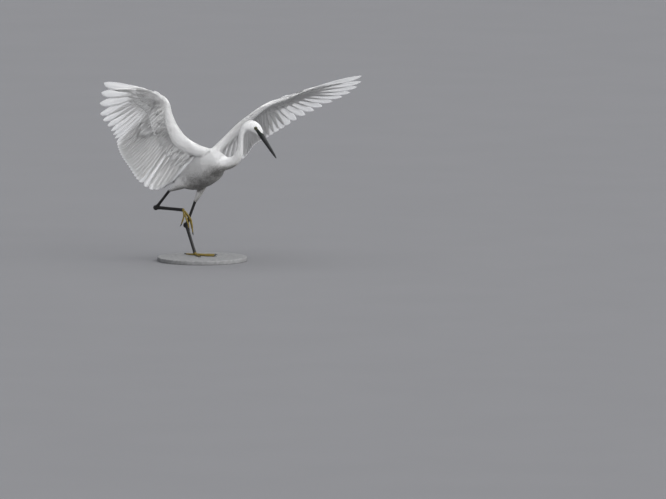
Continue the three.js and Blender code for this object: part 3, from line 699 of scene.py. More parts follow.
@dataclass
class Tail:
    """Twelve closed tail feathers with coverts above and below."""

    root: Point = (-104, 0, 234)
    along: Point = (-0.82, 0, -0.57)
    pairs: int = 6
    length: float = 56
    root_spacing: float = 3.2
    tip_spacing: float = 4.6
    width: float = 5.4
    roll: float = 0.4
    drop: float = 0.6
    bend: float = 0.02
    steps: int = 20
    rounding: float = 0.012
    settling: float = 0.75
    left_lift: float = 2.6
    covert_left_lift: float = 1.2
    covert_wider: float = 1.1
    covert_pairs: tuple[float, ...] = (0.3, 1.6, 2.9, 4.2)
    covert_tiers: tuple[tuple[float, float], ...] = ((5, 0.62), (9, 0.45), (-4, 0.6), (-8, 0.42))

    def feather(self, hand: int, pair: float, lift: float, share: float, shape: VaneShape, wider: float) -> Vane:
        """Lays one feather of the tail.

        Args:
            hand: 1 for the left, -1 for the right.
            pair: Its place from the middle.
            lift: How high its root is.
            share: Its share of the full length.
            shape: Its outline.
            wider: Its share of the full width.

        Returns:
            The feather.
        """
        along = unit(np.array(self.along))
        out = np.array([0, 1.0, 0])
        top = unit(np.cross(out, along))
        root = np.array(self.root) + out * hand * (pair + 0.5) * self.root_spacing
        root = root + top * (lift - pair * self.drop * 0.5)
        tip = root + along * self.length * share * (1 - self.rounding * pair * pair) - top * lift * self.settling
        tip = tip + out * hand * (pair + 0.5) * (self.tip_spacing - self.root_spacing) - top * pair * self.drop
        width = self.width * wider
        return Vane(root, tip, out * hand, top, width, width, shape, self.roll, self.bend, self.steps)

    def build(self, finish: Material) -> Piece:
        """Builds the tail.

        Args:
            finish: The feathers' material.

        Returns:
            The piece.
        """
        data = MeshData()
        for hand in (1, -1):
            lift, extra = (self.left_lift, self.covert_left_lift) if hand > 0 else (0.0, 0.0)
            for pair in range(self.pairs):
                self.feather(hand, pair, lift, 1, SECONDARY_SHAPE, 1).add_to(
                    data, pair / self.pairs, TAIL_SEED + pair * hand)
            for pair in self.covert_pairs:
                for tier, (rise, share) in enumerate(self.covert_tiers):
                    self.feather(hand, pair, rise + extra, share, COVERT_SHAPE, self.covert_wider).add_to(
                        data, pair / self.pairs, TAIL_COVERT_SEED + tier)
        return settle(data.build("tail_feathers", finish), "white_feather", "tail")


LORE_LENGTH = 31.0
LORE_STATIONS = (0, 0.65, 0.95)
LORE_HALF_HEIGHTS = (4.2, 4.9, 10.0)
LORE_BEHIND = 3
LORE_PAST = 8
LORE_SOFTNESS = 0.8
LORE_MIDLINE = 2
LORE_BRIDGE = 0.85
LORE_RISE = 2.4
# Painted shade on the underside: it fades out above a height and grows the more the surface faces down.
PAINTED_SHADE_TOP = 285.0
PAINTED_SHADE_FADE = 45.0
PAINTED_SHADE_ON_THE_SIDES = 0.3
PAINTED_SHADE_BY_TURN = 0.95
PAINTED_SHADE_SHARE = 1.15
TORSO_DEPTH = 1.8
LIMB_DEPTH = 1.6
HEAD_DEPTH = 1.1


def lore_share(points: Array) -> Array:
    """Finds how far points lie in the bare dark skin between the eyes and the bill.

    Args:
        points: Rows of points in millimetres.

    Returns:
        One share for each, 1 well inside and 0 outside.
    """
    local = points - EYE_MIDDLE
    ahead = local @ HEAD_FORWARD
    along = np.clip(ahead / LORE_LENGTH, 0, 1)
    height = local @ HEAD_TOP - LORE_RISE * along
    aside = np.abs(local @ HEAD_SIDE)
    half = np.interp(along, LORE_STATIONS, LORE_HALF_HEIGHTS)
    edge = np.minimum(half - np.abs(height), np.minimum(ahead + LORE_BEHIND, LORE_LENGTH + LORE_PAST - ahead))
    open_to_view = (aside > LORE_MIDLINE) | (ahead > LORE_BRIDGE * LORE_LENGTH)
    return np.clip(edge / LORE_SOFTNESS + 0.5, 0, 1) * open_to_view


def painted_shade_share(places: Array, rises: Array) -> Array:
    """Finds how far painted shade darkens the white where the surface faces down, most on the belly and none on the
    back and the neck's top.

    Args:
        places: Points in millimetres.
        rises: How far the surface faces up at each, from -1 to 1.

    Returns:
        Shares between 0 and 1.
    """
    fade = 1 - np.clip((places[:, 2] - PAINTED_SHADE_TOP) / PAINTED_SHADE_FADE, 0, 1)
    return np.clip(PAINTED_SHADE_ON_THE_SIDES - PAINTED_SHADE_BY_TURN * rises, 0, 1) * fade


@dataclass
class Skin:
    """One smooth body under the feathers, from the bill's root to the thighs and the wings' fingertips."""

    voxel: float = 0.0018
    smoothing: int = 14
    chest_end: float = 0.1
    white_mark: float = 0.3
    tree: BVHTree | None = None

    def build(self, finish: Material) -> Piece:
        """Joins the body's tubes and fuses them into one skin.

        Args:
            finish: The skin's material.

        Returns:
            The piece.
        """
        data = MeshData()
        for limb, sides, steps, depth in (
                (TORSO, 48, 60, TORSO_DEPTH), (NECK, 32, 80, TORSO_DEPTH), (HEAD, 32, 40, HEAD_DEPTH),
                (TAIL_STUB, 24, 12, TORSO_DEPTH), *((thigh, 24, 40, LIMB_DEPTH) for thigh in THIGHS.values()),
                *((lay.arm, 24, 90, LIMB_DEPTH) for lay in WINGS.values())):
            limb.add_to(data, sides, steps, -depth)
        piece = data.build("skin", finish)
        bpy.context.view_layer.objects.active = piece
        remesh = piece.modifiers.new("fuse", "REMESH")
        remesh.mode = "VOXEL"
        remesh.voxel_size = self.voxel
        smooth = piece.modifiers.new("soften", "CORRECTIVE_SMOOTH")
        smooth.use_only_smooth = True
        smooth.iterations = self.smoothing
        fused = bpy.data.meshes.new_from_object(piece.evaluated_get(bpy.context.evaluated_depsgraph_get()))
        piece.modifiers.clear()
        piece.data = fused
        fused.shade_smooth()
        if not fused.materials:
            fused.materials.append(finish)
        self.paint(fused)
        self.tree = BVHTree.FromPolygons([v.co.copy() for v in fused.vertices],
                                         [tuple(p.vertices) for p in fused.polygons])
        return settle(piece, "white_feather", "torso", "neck_lower", "neck_upper", "head", "leg_left_thigh",
                      "leg_right_thigh")

    def paint(self, mesh: bpy.types.Mesh) -> None:
        """Marks the painted shade on the belly and the dark bare skin before the eyes.

        Args:
            mesh: The fused skin.
        """
        places, normals = (np.zeros(len(mesh.vertices) * 3, np.float32) for _ in range(2))
        mesh.vertices.foreach_get("co", places)
        mesh.vertices.foreach_get("normal", normals)
        places, normals = places.reshape(-1, 3), normals.reshape(-1, 3)
        if "mark" in mesh.attributes:
            mesh.attributes.remove(mesh.attributes["mark"])
        # Painted shade: the skin behind the chest is darker where it faces down.
        under = painted_shade_share(places / MM, normals[:, 2]) * (places[:, 0] < self.chest_end)
        tone = self.white_mark * (1 - under) + (1 - self.white_mark) * lore_share(places / MM)
        mesh.attributes.new("mark", "FLOAT", "POINT").data.foreach_set("value", tone.astype(np.float32))


@dataclass(frozen=True)
class CoatLay:
    """How the tufts of one region are sown, with sizes in millimetres."""

    region: Region
    nodes: tuple[str, ...]
    limb: Limb
    depth: float
    count: int
    length: float
    width: float
    lift: float
    start: float = 0.0
    end: float = 1.0
    backward: int = 1
    thick: float = 0.2
    stray: float = 0.1
    bare: bool = False
    # Whether the tufts get painted shade where they face down.
    has_painted_shade: bool = False
    wing: Side | None = None


TUFT_POINTS = 11
TUFT_STATIONS = (0.3, 0.62, 0.86)
TUFT_WIDTHS = (0.8, 1.0, 0.62)
TUFT_MAP = np.vstack([[0.5, 0], np.column_stack([np.tile([0, 0.5, 1], 3), np.repeat(TUFT_STATIONS, 3)]), [0.5, 1]])


def tuft_faces() -> Array:
    """Joins one tuft's points: a fan at its root, two strips and a fan at its tip.

    Returns:
        The triangles.
    """
    ring = ((0, 1), (1, 2), (2, 0))
    tris = [[0, 2, 1], [0, 3, 2], [0, 1, 3]]
    for low in (1, 4):
        for a, b in ring:
            tris += [[low + a, low + b, low + 3 + b], [low + a, low + 3 + b, low + 3 + a]]
    return np.array(tris + [[7 + a, 7 + b, 10] for a, b in ring])


@dataclass
class Coat:
    """The small feathers of one region, thin overlapping leaves that lie along the body."""

    lay: CoatLay
    tree: BVHTree
    seed: int
    samples: int = 160
    reach: float = 0.003
    buried: float = 2.5
    sunk: float = 0.6
    clear: float = 0.12
    tip_clear: float = 0.1
    golden: float = 0.6180339887
    scatter: float = 0.25
    flow_step: float = 0.01
    least_way: float = 0.2
    size_range: tuple[float, float] = (0.8, 1.2)
    lift_range: tuple[float, float] = (0.9, 1.1)
    mark_range: tuple[float, float] = (0.8, 1)

    def sow(self, rng: np.random.Generator) -> tuple[Array, Array]:
        """Draws root places evenly over the region's surface.

        Args:
            rng: The source of chance.

        Returns:
            Shares along the limb and angles round it.
        """
        lay, number = self.lay, np.arange(self.lay.count)
        t = np.linspace(lay.start, lay.end, self.samples)
        girth = lay.limb.girth(t)
        step = np.linalg.norm(np.gradient(lay.limb.point(t), axis=0), axis=1)
        slope = np.linalg.norm(np.gradient(girth, axis=0), axis=1)
        area = np.cumsum(np.hypot(step, slope) * girth.sum(axis=1))
        picked = (number + rng.uniform(0, 1, lay.count)) / lay.count
        along = np.interp(picked * (area[-1] - area[0]) + area[0], area, t)
        return along, ((number * self.golden + rng.uniform(0, self.scatter, lay.count)) % 1) * TURN

    def rooted(self, place: Array, flow: Array) -> tuple[Array, Array, Array] | None:
        """Finds where a tuft grows out of the skin.

        Args:
            place: A place near the skin.
            flow: The way that the feathers lie there.

        Returns:
            The tuft's foot, the skin's outward direction and the tuft's way, or None where none grows.
        """
        hit, normal, _, gap = self.tree.find_nearest(Vector(place * MM))
        if hit is None or gap > self.reach:
            return None
        foot, up = np.array(hit) / MM, np.array(normal)
        bare = self.lay.bare and lore_share(foot[None])[0] > 0.5
        way = flow - up * float(flow @ up)
        if bare or (place - foot) @ up < -self.buried or np.linalg.norm(way) < self.least_way:
            return None
        return foot, up, unit(way)

    def leaf(self, foot: Array, up: Array, way: Array, length: float, width: float, lift: float) -> Array:
        """Lays one tuft over the skin from its foot to its tip.

        Args:
            foot: Where it grows.
            up: The skin's outward direction there.
            way: The way that it lies.
            length: Its length.
            width: Half its width.
            lift: How far its tip stands off.

        Returns:
            Its points.
        """
        tuft = [foot - up * self.sunk]
        place, before = foot, 0.0
        for share, wide in zip(TUFT_STATIONS, TUFT_WIDTHS):
            hit, normal, _, _ = self.tree.find_nearest(Vector((place + way * length * (share - before)) * MM))
            place, up, before = np.array(hit) / MM, np.array(normal), share
            way = unit(way - up * float(way @ up))
            side = np.cross(up, way) * width * wide
            base = place + up * (self.clear + lift * share)
            tuft.extend([base - side, base + up * self.lay.thick, base + side])
        tuft.append(place + way * length * (1 - before) + up * (self.tip_clear + lift))
        return np.array(tuft)

    def build(self, finish: Material) -> Piece:
        """Builds the region's coat.

        Args:
            finish: The coat's material.

        Returns:
            The piece.
        """
        lay, rng = self.lay, np.random.default_rng(self.seed)
        t, angle = self.sow(rng)
        before, surface, onward = (lay.limb.surface(np.clip(t + step, 0, 1), angle, -lay.depth)
                                   for step in (-self.flow_step, 0.0, self.flow_step))
        flow = unit(onward - before) * lay.backward
        if lay.wing is not None:
            flow = Wing(WINGS[lay.wing]).flow(t)
        tufts, bake, marks = [], [], []
        for k in range(lay.count):
            rooted = self.rooted(surface[k], flow[k])
            if rooted is None:
                continue
            foot, up, way = rooted
            way = unit(way + np.cross(up, way) * rng.normal(0, lay.stray))
            length, width = (size * rng.uniform(*self.size_range) for size in (lay.length, lay.width))
            tufts.append(self.leaf(foot, up, way, length, width, lay.lift * rng.uniform(*self.lift_range)))
            centre = np.array([angle[k] / TURN, t[k]])
            bake.append(centre * (1 - 2 * BAKE_PATCH) + TUFT_MAP * BAKE_PATCH)
            # Painted shade: tufts that face down get a lower value, so a greyer colour.
            shade = float(painted_shade_share(foot[None], up[2:])[0]) if lay.has_painted_shade else 0.0
            marks.append(np.full(TUFT_POINTS, rng.uniform(*self.mark_range) - PAINTED_SHADE_SHARE * shade))
        faces = np.vstack([tuft_faces() + TUFT_POINTS * k for k in range(len(tufts))])
        data = MeshData()
        data.add(np.vstack(tufts), faces, np.tile(TUFT_MAP, (len(tufts), 1)), np.concatenate(marks), np.vstack(bake))
        return settle(data.build(f"coat_{lay.region.value}", finish), "white_feather", *lay.nodes)


# The body, tail, neck and thigh coats carry painted shade where they face down; the head and arm coats do not.
COATS = (
    CoatLay(Region.BACK_AND_CHEST, ("torso",), TORSO, TORSO_DEPTH, 9500, 15, 2.2, 0.6, 0.5, 1.0, -1,
            thick=0.08, stray=0.05, has_painted_shade=True),
    CoatLay(Region.RUMP_AND_BELLY, ("torso",), TORSO, TORSO_DEPTH, 9500, 16, 2.4, 0.6, 0.0, 0.5, -1,
            thick=0.08, stray=0.05, has_painted_shade=True),
    CoatLay(Region.TAIL, ("tail",), TAIL_STUB, TORSO_DEPTH, 1600, 16, 2.6, 0.6, thick=0.1, has_painted_shade=True),
    CoatLay(Region.NECK, ("neck_lower", "neck_upper"), NECK, TORSO_DEPTH, 8000, 10, 1.1, 0.3, backward=-1,
            thick=0.12, has_painted_shade=True),
    CoatLay(Region.HEAD, ("head",), HEAD, HEAD_DEPTH, 7000, 5.5, 0.6, 0.3, 0.0, 0.97, -1, bare=True),
    *(CoatLay(region, (f"leg_{side.value}_thigh",), THIGHS[side], LIMB_DEPTH, 3000, 11, 1.3, 0.5, has_painted_shade=True)
      for region, side in ((Region.THIGH_LEFT, Side.LEFT), (Region.THIGH_RIGHT, Side.RIGHT))),
    *(CoatLay(region, tuple(WINGS[side].nodes()), WINGS[side].arm, LIMB_DEPTH, 8000, 12, 1.6, 0.6, wing=side)
      for region, side in ((Region.ARM_RIGHT, Side.RIGHT), (Region.ARM_LEFT, Side.LEFT))),
)


@dataclass
class Bill:
    """The two halves of a long dagger bill, with a nostril slit on each side."""

    length: float = 80.0
    half_depth: float = 7.5
    half_width: float = 5.6
    stations: tuple[float, ...] = (0, 0.3, 0.6, 0.85, 0.97, 1)
    depths: tuple[float, ...] = (1, 0.78, 0.64, 0.44, 0.2, 0.09)
    widths: tuple[float, ...] = (1, 0.76, 0.6, 0.4, 0.18, 0.09)
    drops: tuple[float, ...] = (0, -0.2, -0.3, -0.5, -0.9)
    mouth: float = -1.2
    mouth_gap: float = 0.16
    nostril: tuple[float, float] = (13.0, 2.6)
    nostril_size: tuple[float, float] = (4.2, 0.75)
    nostril_depth: float = 0.16
    sides: int = 26
    steps: int = 90

    def half(self, upper: bool, finish: Material) -> Piece:
        """Builds one half.

        Args:
            upper: Whether it is the upper one.
            finish: The horn's material.

        Returns:
            The piece.
        """
        share = np.linspace(0, 1, self.steps + 1)**0.9
        depth = np.interp(share, self.stations, self.depths) * self.half_depth
        width = np.interp(share, self.stations, self.widths) * self.half_width
        drop = np.interp(share, (*self.stations[:4], 1), self.drops)
        gap = self.mouth_gap if upper else -self.mouth_gap
        limit = np.arccos(np.clip((self.mouth + gap - drop) / depth, -0.9, 0.9))
        spread = np.linspace(-1, 1, self.sides)
        angle = limit[:, None] * spread if upper else math.pi + (math.pi - limit)[:, None] * spread
        high = depth[:, None] * np.cos(angle) + drop[:, None]
        wide = width[:, None] * np.sin(angle)
        ahead = np.broadcast_to((share * self.length + JOINT_GAP / 2)[:, None], high.shape)
        if upper:
            away = ((ahead - self.nostril[0]) / self.nostril_size[0])**2
            away = away + ((high - self.nostril[1]) / self.nostril_size[1])**2
            wide = wide * (1 - self.nostril_depth * np.exp(-away**2))
        ring = FACE_END + ahead[..., None] * HEAD_FORWARD + high[..., None] * HEAD_TOP + wide[..., None] * HEAD_SIDE
        uv = np.column_stack([np.tile(spread, self.steps + 1), np.repeat(share, self.sides)])
        uv = np.vstack([uv, [[0, 0], [0, 1]]])
        data = MeshData()
        data.add_rings(np.vstack([ring.reshape(-1, 3), ring[0].mean(0), ring[-1].mean(0)]), self.sides, uv, uv[:, 1])
        name = "bill_upper" if upper else "bill_lower"
        return settle(data.build(f"{name}_horn", finish), "bill_horn", name, outward=True)


@dataclass
class Eye:
    """A pale eye with a dark pupil, and the ring of bare skin round it."""

    side: Side
    spread: float = 13.2
    radius: float = 5.2
    flatness: float = 0.7
    rings: int = 24
    around: int = 36
    lid_out: float = 2.0
    lid_radii: tuple[float, float] = (4.5, 4.9)
    lid_girth: float = 0.75
    lid_swell: float = 0.25
    lid_flatness: float = 0.8
    lid_stations: int = 61
    lid_sides: int = 10
    lid_steps: int = 120

    def build(self, ball_finish: Material, lid_finish: Material) -> list[Piece]:
        """Builds the ball and the lids.

        Args:
            ball_finish: The eye's material.
            lid_finish: The bare skin's material.

        Returns:
            The two pieces.
        """
        name, hand = self.side.value, 1 if self.side is Side.LEFT else -1
        middle = EYE_MIDDLE + HEAD_SIDE * hand * self.spread
        polar = np.linspace(0, math.pi, self.rings + 1)[1:-1]
        turn = np.arange(self.around) * TURN / self.around
        grid_p, grid_t = np.meshgrid(polar, turn, indexing="ij")
        out = np.cos(grid_p) * self.radius * self.flatness
        ring = np.sin(grid_p) * self.radius
        verts = middle + (out[..., None] * HEAD_SIDE * hand + (ring * np.cos(grid_t))[..., None] * HEAD_TOP
                          + (ring * np.sin(grid_t))[..., None] * HEAD_FORWARD)
        poles = middle + np.array([1, -1])[:, None] * HEAD_SIDE * hand * self.radius * self.flatness
        mark = np.append(np.sin(np.minimum(grid_p, math.pi / 2)).ravel(), [0, 1])
        ball, lid = MeshData(), MeshData()
        ball.add_rings(np.vstack([verts.reshape(-1, 3), poles]), self.around, None, mark)
        loop = np.linspace(0, TURN, self.lid_stations)
        high, long = self.lid_radii
        points = (EYE_MIDDLE + HEAD_SIDE * hand * (self.spread + self.lid_out)
                  + (np.cos(loop) * high)[:, None] * HEAD_TOP + (np.sin(loop) * long)[:, None] * HEAD_FORWARD)
        girth = self.lid_girth + self.lid_swell * np.abs(np.cos(loop))
        stations = tuple((*p, g, g * self.lid_flatness) for p, g in zip(points, girth))
        Limb(stations, tuple(HEAD_SIDE)).add_to(lid, self.lid_sides, self.lid_steps)
        return [settle(ball.build(f"eyeball_{name}", ball_finish), "eye_gloss", f"eye_{name}", outward=True),
                settle(lid.build(f"eyelid_{name}", lid_finish), "bill_horn", "head", outward=True)]


TOE_RADIUS = 2.7
TOE_UP = (0.2, 0.1, 1)
TOE_STATIONS = (0, 0.33, 0.67, 1)
TOE_GIRTHS = (1.15, 1, 0.92, 0.7)
TOE_JOINTS = (0.33, 0.67, 0.97)
PAD_LENGTH = 0.06
CLAW_GIRTHS = ((0.68, 0.6), (0.46, 0.4))
TIBIA_RADII = ((0, 4.4, 4), (0.5, 4.1, 3.6), (0.85, 4.8, 4.2), (1, 6.8, 5.6))
TARSUS_RADII = ((0, 6.8, 5.6), (0.12, 5.3, 4.4), (0.5, 4.8, 4), (0.85, 4.8, 4), (1, 5.2, 4.8))
ANKLE_KNUCKLE = ((-7, 2.5), (-5, 6), (0, 7.4), (4.5, 7.6), (8, 5.6), (9.6, 2))
FOOT_KNOB = ((-5, 5, 4.6), (-1, 4.8, 4.4), (0, 3.8, 3.6), (1, 2, 2))
STANDING_FOOT = (-34.0, 8.0, 16.5)


@dataclass(frozen=True)
class LegLay:
    """Where one leg's joints and toes are, in millimetres."""

    side: Side
    feathered: Point
    ankle: Point
    foot: Point
    up: Point
    toes: dict[str, tuple[Point, ...]]


def standing_toe(heading: float, length: float) -> tuple[Point, ...]:
    """Lays a toe on the stand.

    Args:
        heading: Its direction in degrees.
        length: Its length.

    Returns:
        Four points along it.
    """
    turn = math.radians(heading)
    height = BASE_HEIGHT + JOINT_GAP + TOE_RADIUS
    x, y, _ = STANDING_FOOT
    return tuple((x + math.cos(turn) * length * share, y + math.sin(turn) * length * share,
                  height + (0.9 if share < 0.1 else 0)) for share in (0.06, 0.35, 0.68, 1))


LEGS = (
    LegLay(Side.LEFT, (-45, 20.2, 167), (-71, 12, 98), STANDING_FOOT, (1, 0, 0.3), {
        "middle": standing_toe(4, 68), "inner": standing_toe(-34, 52), "outer": standing_toe(40, 56),
        "hind": standing_toe(186, 31)}),
    LegLay(Side.RIGHT, (-99, -30, 201), (-155, -24, 147), (-64, -7, 144), (0.3, 0, 1), {
        "middle": ((-62, -6, 141), (-49, 5, 118), (-46, 8, 98), (-44.5, 9.5, 79)),
        "inner": ((-64, -6, 140), (-57, -3, 116), (-54, 0, 104), (-52.5, 1.5, 93)),
        "outer": ((-63, -4, 141), (-58, 8, 120), (-56, 14, 106), (-55, 17, 92)),
        "hind": ((-65, -8, 141), (-63, -8, 128), (-66, -10, 114), (-69, -12, 104))}),
)


@dataclass
class Leg:
    """The bare shin, shank and toes of one leg, with scutes, toe pads and claws."""

    lay: LegLay
    scute_height: float = 0.22
    scute_pitch: float = 3.4
    sides: int = 24
    overlap: float = 4.0
    claw_length: float = 9.0
    claw_tip: float = 0.2
    claw_middle: float = 0.55
    claw_hooks: tuple[float, float] = (0.1, 2.2)
    claw_arch: float = 0.6
    claw_clear: float = 0.5
    level: float = 0.2
    end_girth: float = 0.6
    toe_steps: int = 48

    def shank(self, start: Array, end: Array, radii: tuple[Point, ...]) -> Limb:
        """Lays the tube of one long bone, rounded at both ends.

        Args:
            start: Its upper end.
            end: Its lower end.
            radii: Shares of the way along, each with half high and half wide.

        Returns:
            The tube.
        """
        along = unit(end - start)
        rows = [(*(start + (end - start) * share), high, wide) for share, high, wide in radii]
        first, last = ((*place, radius[1] * self.end_girth, radius[2] * self.end_girth)
                       for place, radius in ((start - along, radii[0]), (end + along, radii[-1])))
        return Limb((first, *rows, last), self.lay.up)

    def scaled_tube(self, data: MeshData, limb: Limb, length: float, steps: int, sides: int) -> None:
        """Adds a tube whose front carries overlapping scutes.

        Args:
            data: The mesh that grows.
            limb: The tube.
            length: Its length.
            steps: Stretches between rings.
            sides: Points round each ring.
        """
        verts, angle, share = limb.tube(sides, steps)
        saw = (share * length / self.scute_pitch) % 1
        rise = self.scute_height * np.clip(np.cos(angle), 0, 1)**0.5 * (saw - 1)
        rise[-2:] = 0
        verts = verts + unit(verts - limb.point(share) + 1e-9) * rise[:, None]
        data.add_rings(verts, sides, np.column_stack([angle / TURN, share]), share, flip=True)

    def toe(self, data: MeshData, points: tuple[Point, ...]) -> None:
        """Adds a toe with pads at its joints.

        Args:
            data: The mesh that grows.
            points: The points along it.
        """
        path = np.array(points, float)
        t = np.linspace(0, 1, self.toe_steps + 1)
        girth = np.interp(t, TOE_STATIONS, TOE_GIRTHS) * TOE_RADIUS
        bulge = sum(np.exp(-((t - joint) / PAD_LENGTH)**2) for joint in TOE_JOINTS)
        rows = np.column_stack([curve_at(path, t), girth * (0.93 + 0.1 * bulge), girth * (0.9 + 0.14 * bulge)])
        length = float(np.linalg.norm(path[-1] - path[0]))
        self.scaled_tube(data, Limb(tuple(map(tuple, rows)), TOE_UP), length, 96, 16)

    def claw(self, name: str, points: tuple[Point, ...], finish: Material) -> Piece:
        """Builds one curved claw.

        Args:
            name: Its toe.
            points: The toe's points.
            finish: The horn's material.

        Returns:
            The piece.
        """
        path = np.array(points, float)
        end = path[-1]
        along = unit(end - path[-2])
        start = end + along * JOINT_GAP
        tip = start + along * self.claw_length
        middle = start + along * self.claw_length * self.claw_middle
        if abs(along[2]) < self.level:
            tip[2] = BASE_HEIGHT + JOINT_GAP + self.claw_clear
            middle[2] += self.claw_arch
        else:
            hook = end - np.array(self.lay.foot)
            hook[2] = 0
            hook = unit(hook)
            middle += hook * self.claw_hooks[0]
            tip += hook * self.claw_hooks[1]
        rows = (*((*place, TOE_RADIUS * high, TOE_RADIUS * wide)
                  for place, (high, wide) in zip((start, middle), CLAW_GIRTHS)),
                (*tip, self.claw_tip, self.claw_tip))
        data, side = MeshData(), self.lay.side.value
        Limb(rows, TOE_UP).add_to(data, 16, 20)
        return settle(data.build(f"claw_horn_{side}_{name}", finish), "claw_horn", f"claw_{side}_{name}", outward=True)

    def build(self, black: Material, yellow: Material, horn: Material) -> list[Piece]:
        """Builds the leg's pieces.

        Args:
            black: The shin's and shank's material.
            yellow: The foot's material.
            horn: The claws' material.

        Returns:
            The shin, the shank, the toes and the claws.
        """
        pieces, side = [], self.lay.side.value
        knee, ankle, foot = (np.array(p, float) for p in (self.lay.feathered, self.lay.ankle, self.lay.foot))
        shin, down = unit(ankle - knee), unit(foot - ankle)
        for name, node, start, end, radii in (
                ("shin", "tibia", knee - shin * self.overlap, ankle, TIBIA_RADII),
                ("shank", "tarsus", ankle, foot - down * self.overlap, TARSUS_RADII)):
            data = MeshData()
            self.scaled_tube(data, self.shank(start, end, radii), float(np.linalg.norm(end - start)), 150, self.sides)
            if name == "shank":
                bend = unit(shin - down)
                Limb(tuple((*(ankle + bend * reach), girth, girth * 0.82) for reach, girth in ANKLE_KNUCKLE),
                     tuple(unit(shin + down))).add_to(data, 24, 24)
            piece = data.build(f"{name}_{side}", black)
            pieces.append(settle(piece, "leg_scale", f"leg_{side}_{node}", outward=True))
        data = MeshData()
        knob = Limb(tuple((*(foot + down * reach), high, wide) for reach, high, wide in FOOT_KNOB), self.lay.up)
        self.scaled_tube(data, knob, 6, 12, 20)
        for points in self.lay.toes.values():
            self.toe(data, points)
        pieces.append(settle(data.build(f"toes_{side}", yellow), "foot_scale", f"foot_{side}", outward=True))
        return pieces + [self.claw(name, points, horn) for name, points in self.lay.toes.items()]


@dataclass
class Stand:
    """The low round disc under the standing foot, its rim softened by small round edges."""

    radius: float = 130.0
    height: float = BASE_HEIGHT
    edge: float = 2.0
    sides: int = 144
    edge_steps: int = 5
    rings: int = 10
    hub: float = 0.04

    def build(self, finish: Material) -> Piece:
        """Builds the disc.

        Args:
            finish: The stand's material.

        Returns:
            The piece.
        """
        turn = np.linspace(0, math.pi / 2, self.edge_steps + 1)
        inner = np.linspace(self.hub, 1, self.rings)[:-1] * (self.radius - self.edge)
        low = np.column_stack([self.radius - self.edge + self.edge * np.sin(turn),
                               self.edge - self.edge * np.cos(turn)])
        high = np.column_stack([low[::-1, 0], self.height - low[::-1, 1]])
        profile = np.vstack([np.column_stack([inner, np.zeros(len(inner))]), low, high,
                             np.column_stack([inner[::-1], np.full(len(inner), self.height)])])
        angle = np.linspace(0, TURN, self.sides, endpoint=False)
        verts = np.column_stack([np.outer(profile[:, 0], np.cos(angle)).ravel(),
                                 np.outer(profile[:, 0], np.sin(angle)).ravel(),
                                 np.repeat(profile[:, 1], self.sides)])
        data = MeshData()
        data.add_rings(np.vstack([verts, [[0, 0, 0], [0, 0, self.height]]]), self.sides)
        return settle(data.build("stand_disc", finish), "base_matte", "stand_base")


@dataclass
class Shading:
    """One node material while it is being made."""

    name: str
    roughness: float
    material: Material = field(init=False)
    tree: bpy.types.ShaderNodeTree = field(init=False)
    shader: bpy.types.Node = field(init=False)

    def __post_init__(self) -> None:
        """Makes the material with its shader."""
        self.material = bpy.data.materials.new(self.name)
        self.material.use_nodes = True
        self.tree = self.material.node_tree
        self.shader = self.tree.nodes["Principled BSDF"]
        self.shader.inputs["Roughness"].default_value = self.roughness

    def node(self, kind: str, **links: Socket) -> bpy.types.Node:
        """Adds a node.

        Args:
            kind: Its kind, without the words that every kind starts with.
            links: What is linked into each of its named inputs.

        Returns:
            The node.
        """
        node = self.tree.nodes.new(f"ShaderNode{kind}")
        for name, source in links.items():
            self.tree.links.new(source, node.inputs[name])
        return node

    def noise(self, scale: float) -> Socket:
        """Adds a noise over the piece's own coordinates.

        Args:
            scale: How fine it is.

        Returns:
            Its output.
        """
        noise = self.node("TexNoise", Vector=self.node("TexCoord").outputs["Object"])
        noise.inputs["Scale"].default_value = scale
        return noise.outputs["Fac"]

    def mark(self) -> Socket:
        """Reads each form's own value.

        Returns:
            The output that gives it.
        """
        own = self.node("Attribute")
        own.attribute_name = "mark"
        return own.outputs["Fac"]

    def bump(self, height: Socket, depth: float) -> None:
        """Raises the surface.

        Args:
            height: What the height follows.
            depth: How much it rises, in metres.
        """
        bumper = self.node("Bump", Height=height)
        bumper.inputs["Distance"].default_value = depth
        self.tree.links.new(bumper.outputs["Normal"], self.shader.inputs["Normal"])

    def tint(self, source: Socket, stops: tuple[tuple[float, Colour], ...]) -> None:
        """Colours the shader by a ramp.

        Args:
            source: What the ramp follows.
            stops: Places and colours.
        """
        ramp = self.node("ValToRGB", Fac=source)
        elements = ramp.color_ramp.elements
        for k, (place, colour) in enumerate(stops):
            element = elements[k] if k < 2 else elements.new(place)
            element.position = place
            element.color = (*colour, 1)
        self.tree.links.new(ramp.outputs["Color"], self.shader.inputs["Base Color"])

    def math(self, kind: str, *values: Socket | float) -> Socket:
        """Adds a sum.

        Args:
            kind: Its kind.
            values: Its inputs, numbers or other outputs.

        Returns:
            Its output.
        """
        node = self.node("Math")
        node.operation = kind
        for k, value in enumerate(values):
            if isinstance(value, float):
                node.inputs[k].default_value = value
            else:
                self.tree.links.new(value, node.inputs[k])
        return node.outputs[0]


@dataclass(frozen=True)
class Finish:
    """A procedural finish with a fine noise bump; each kind paints its own colours."""

    name: str
    roughness: float
    bump: float = 0.0
    bump_scale: float = 400.0

    def make(self) -> Material:
        """Makes the finish.

        Returns:
            The material.
        """
        shading = Shading(self.name, self.roughness)
        if self.bump:
            shading.bump(shading.noise(self.bump_scale), self.bump)
        self.paint(shading)
        return shading.material

    def paint(self, shading: Shading) -> None:
        """Colours the material."""
        raise NotImplementedError


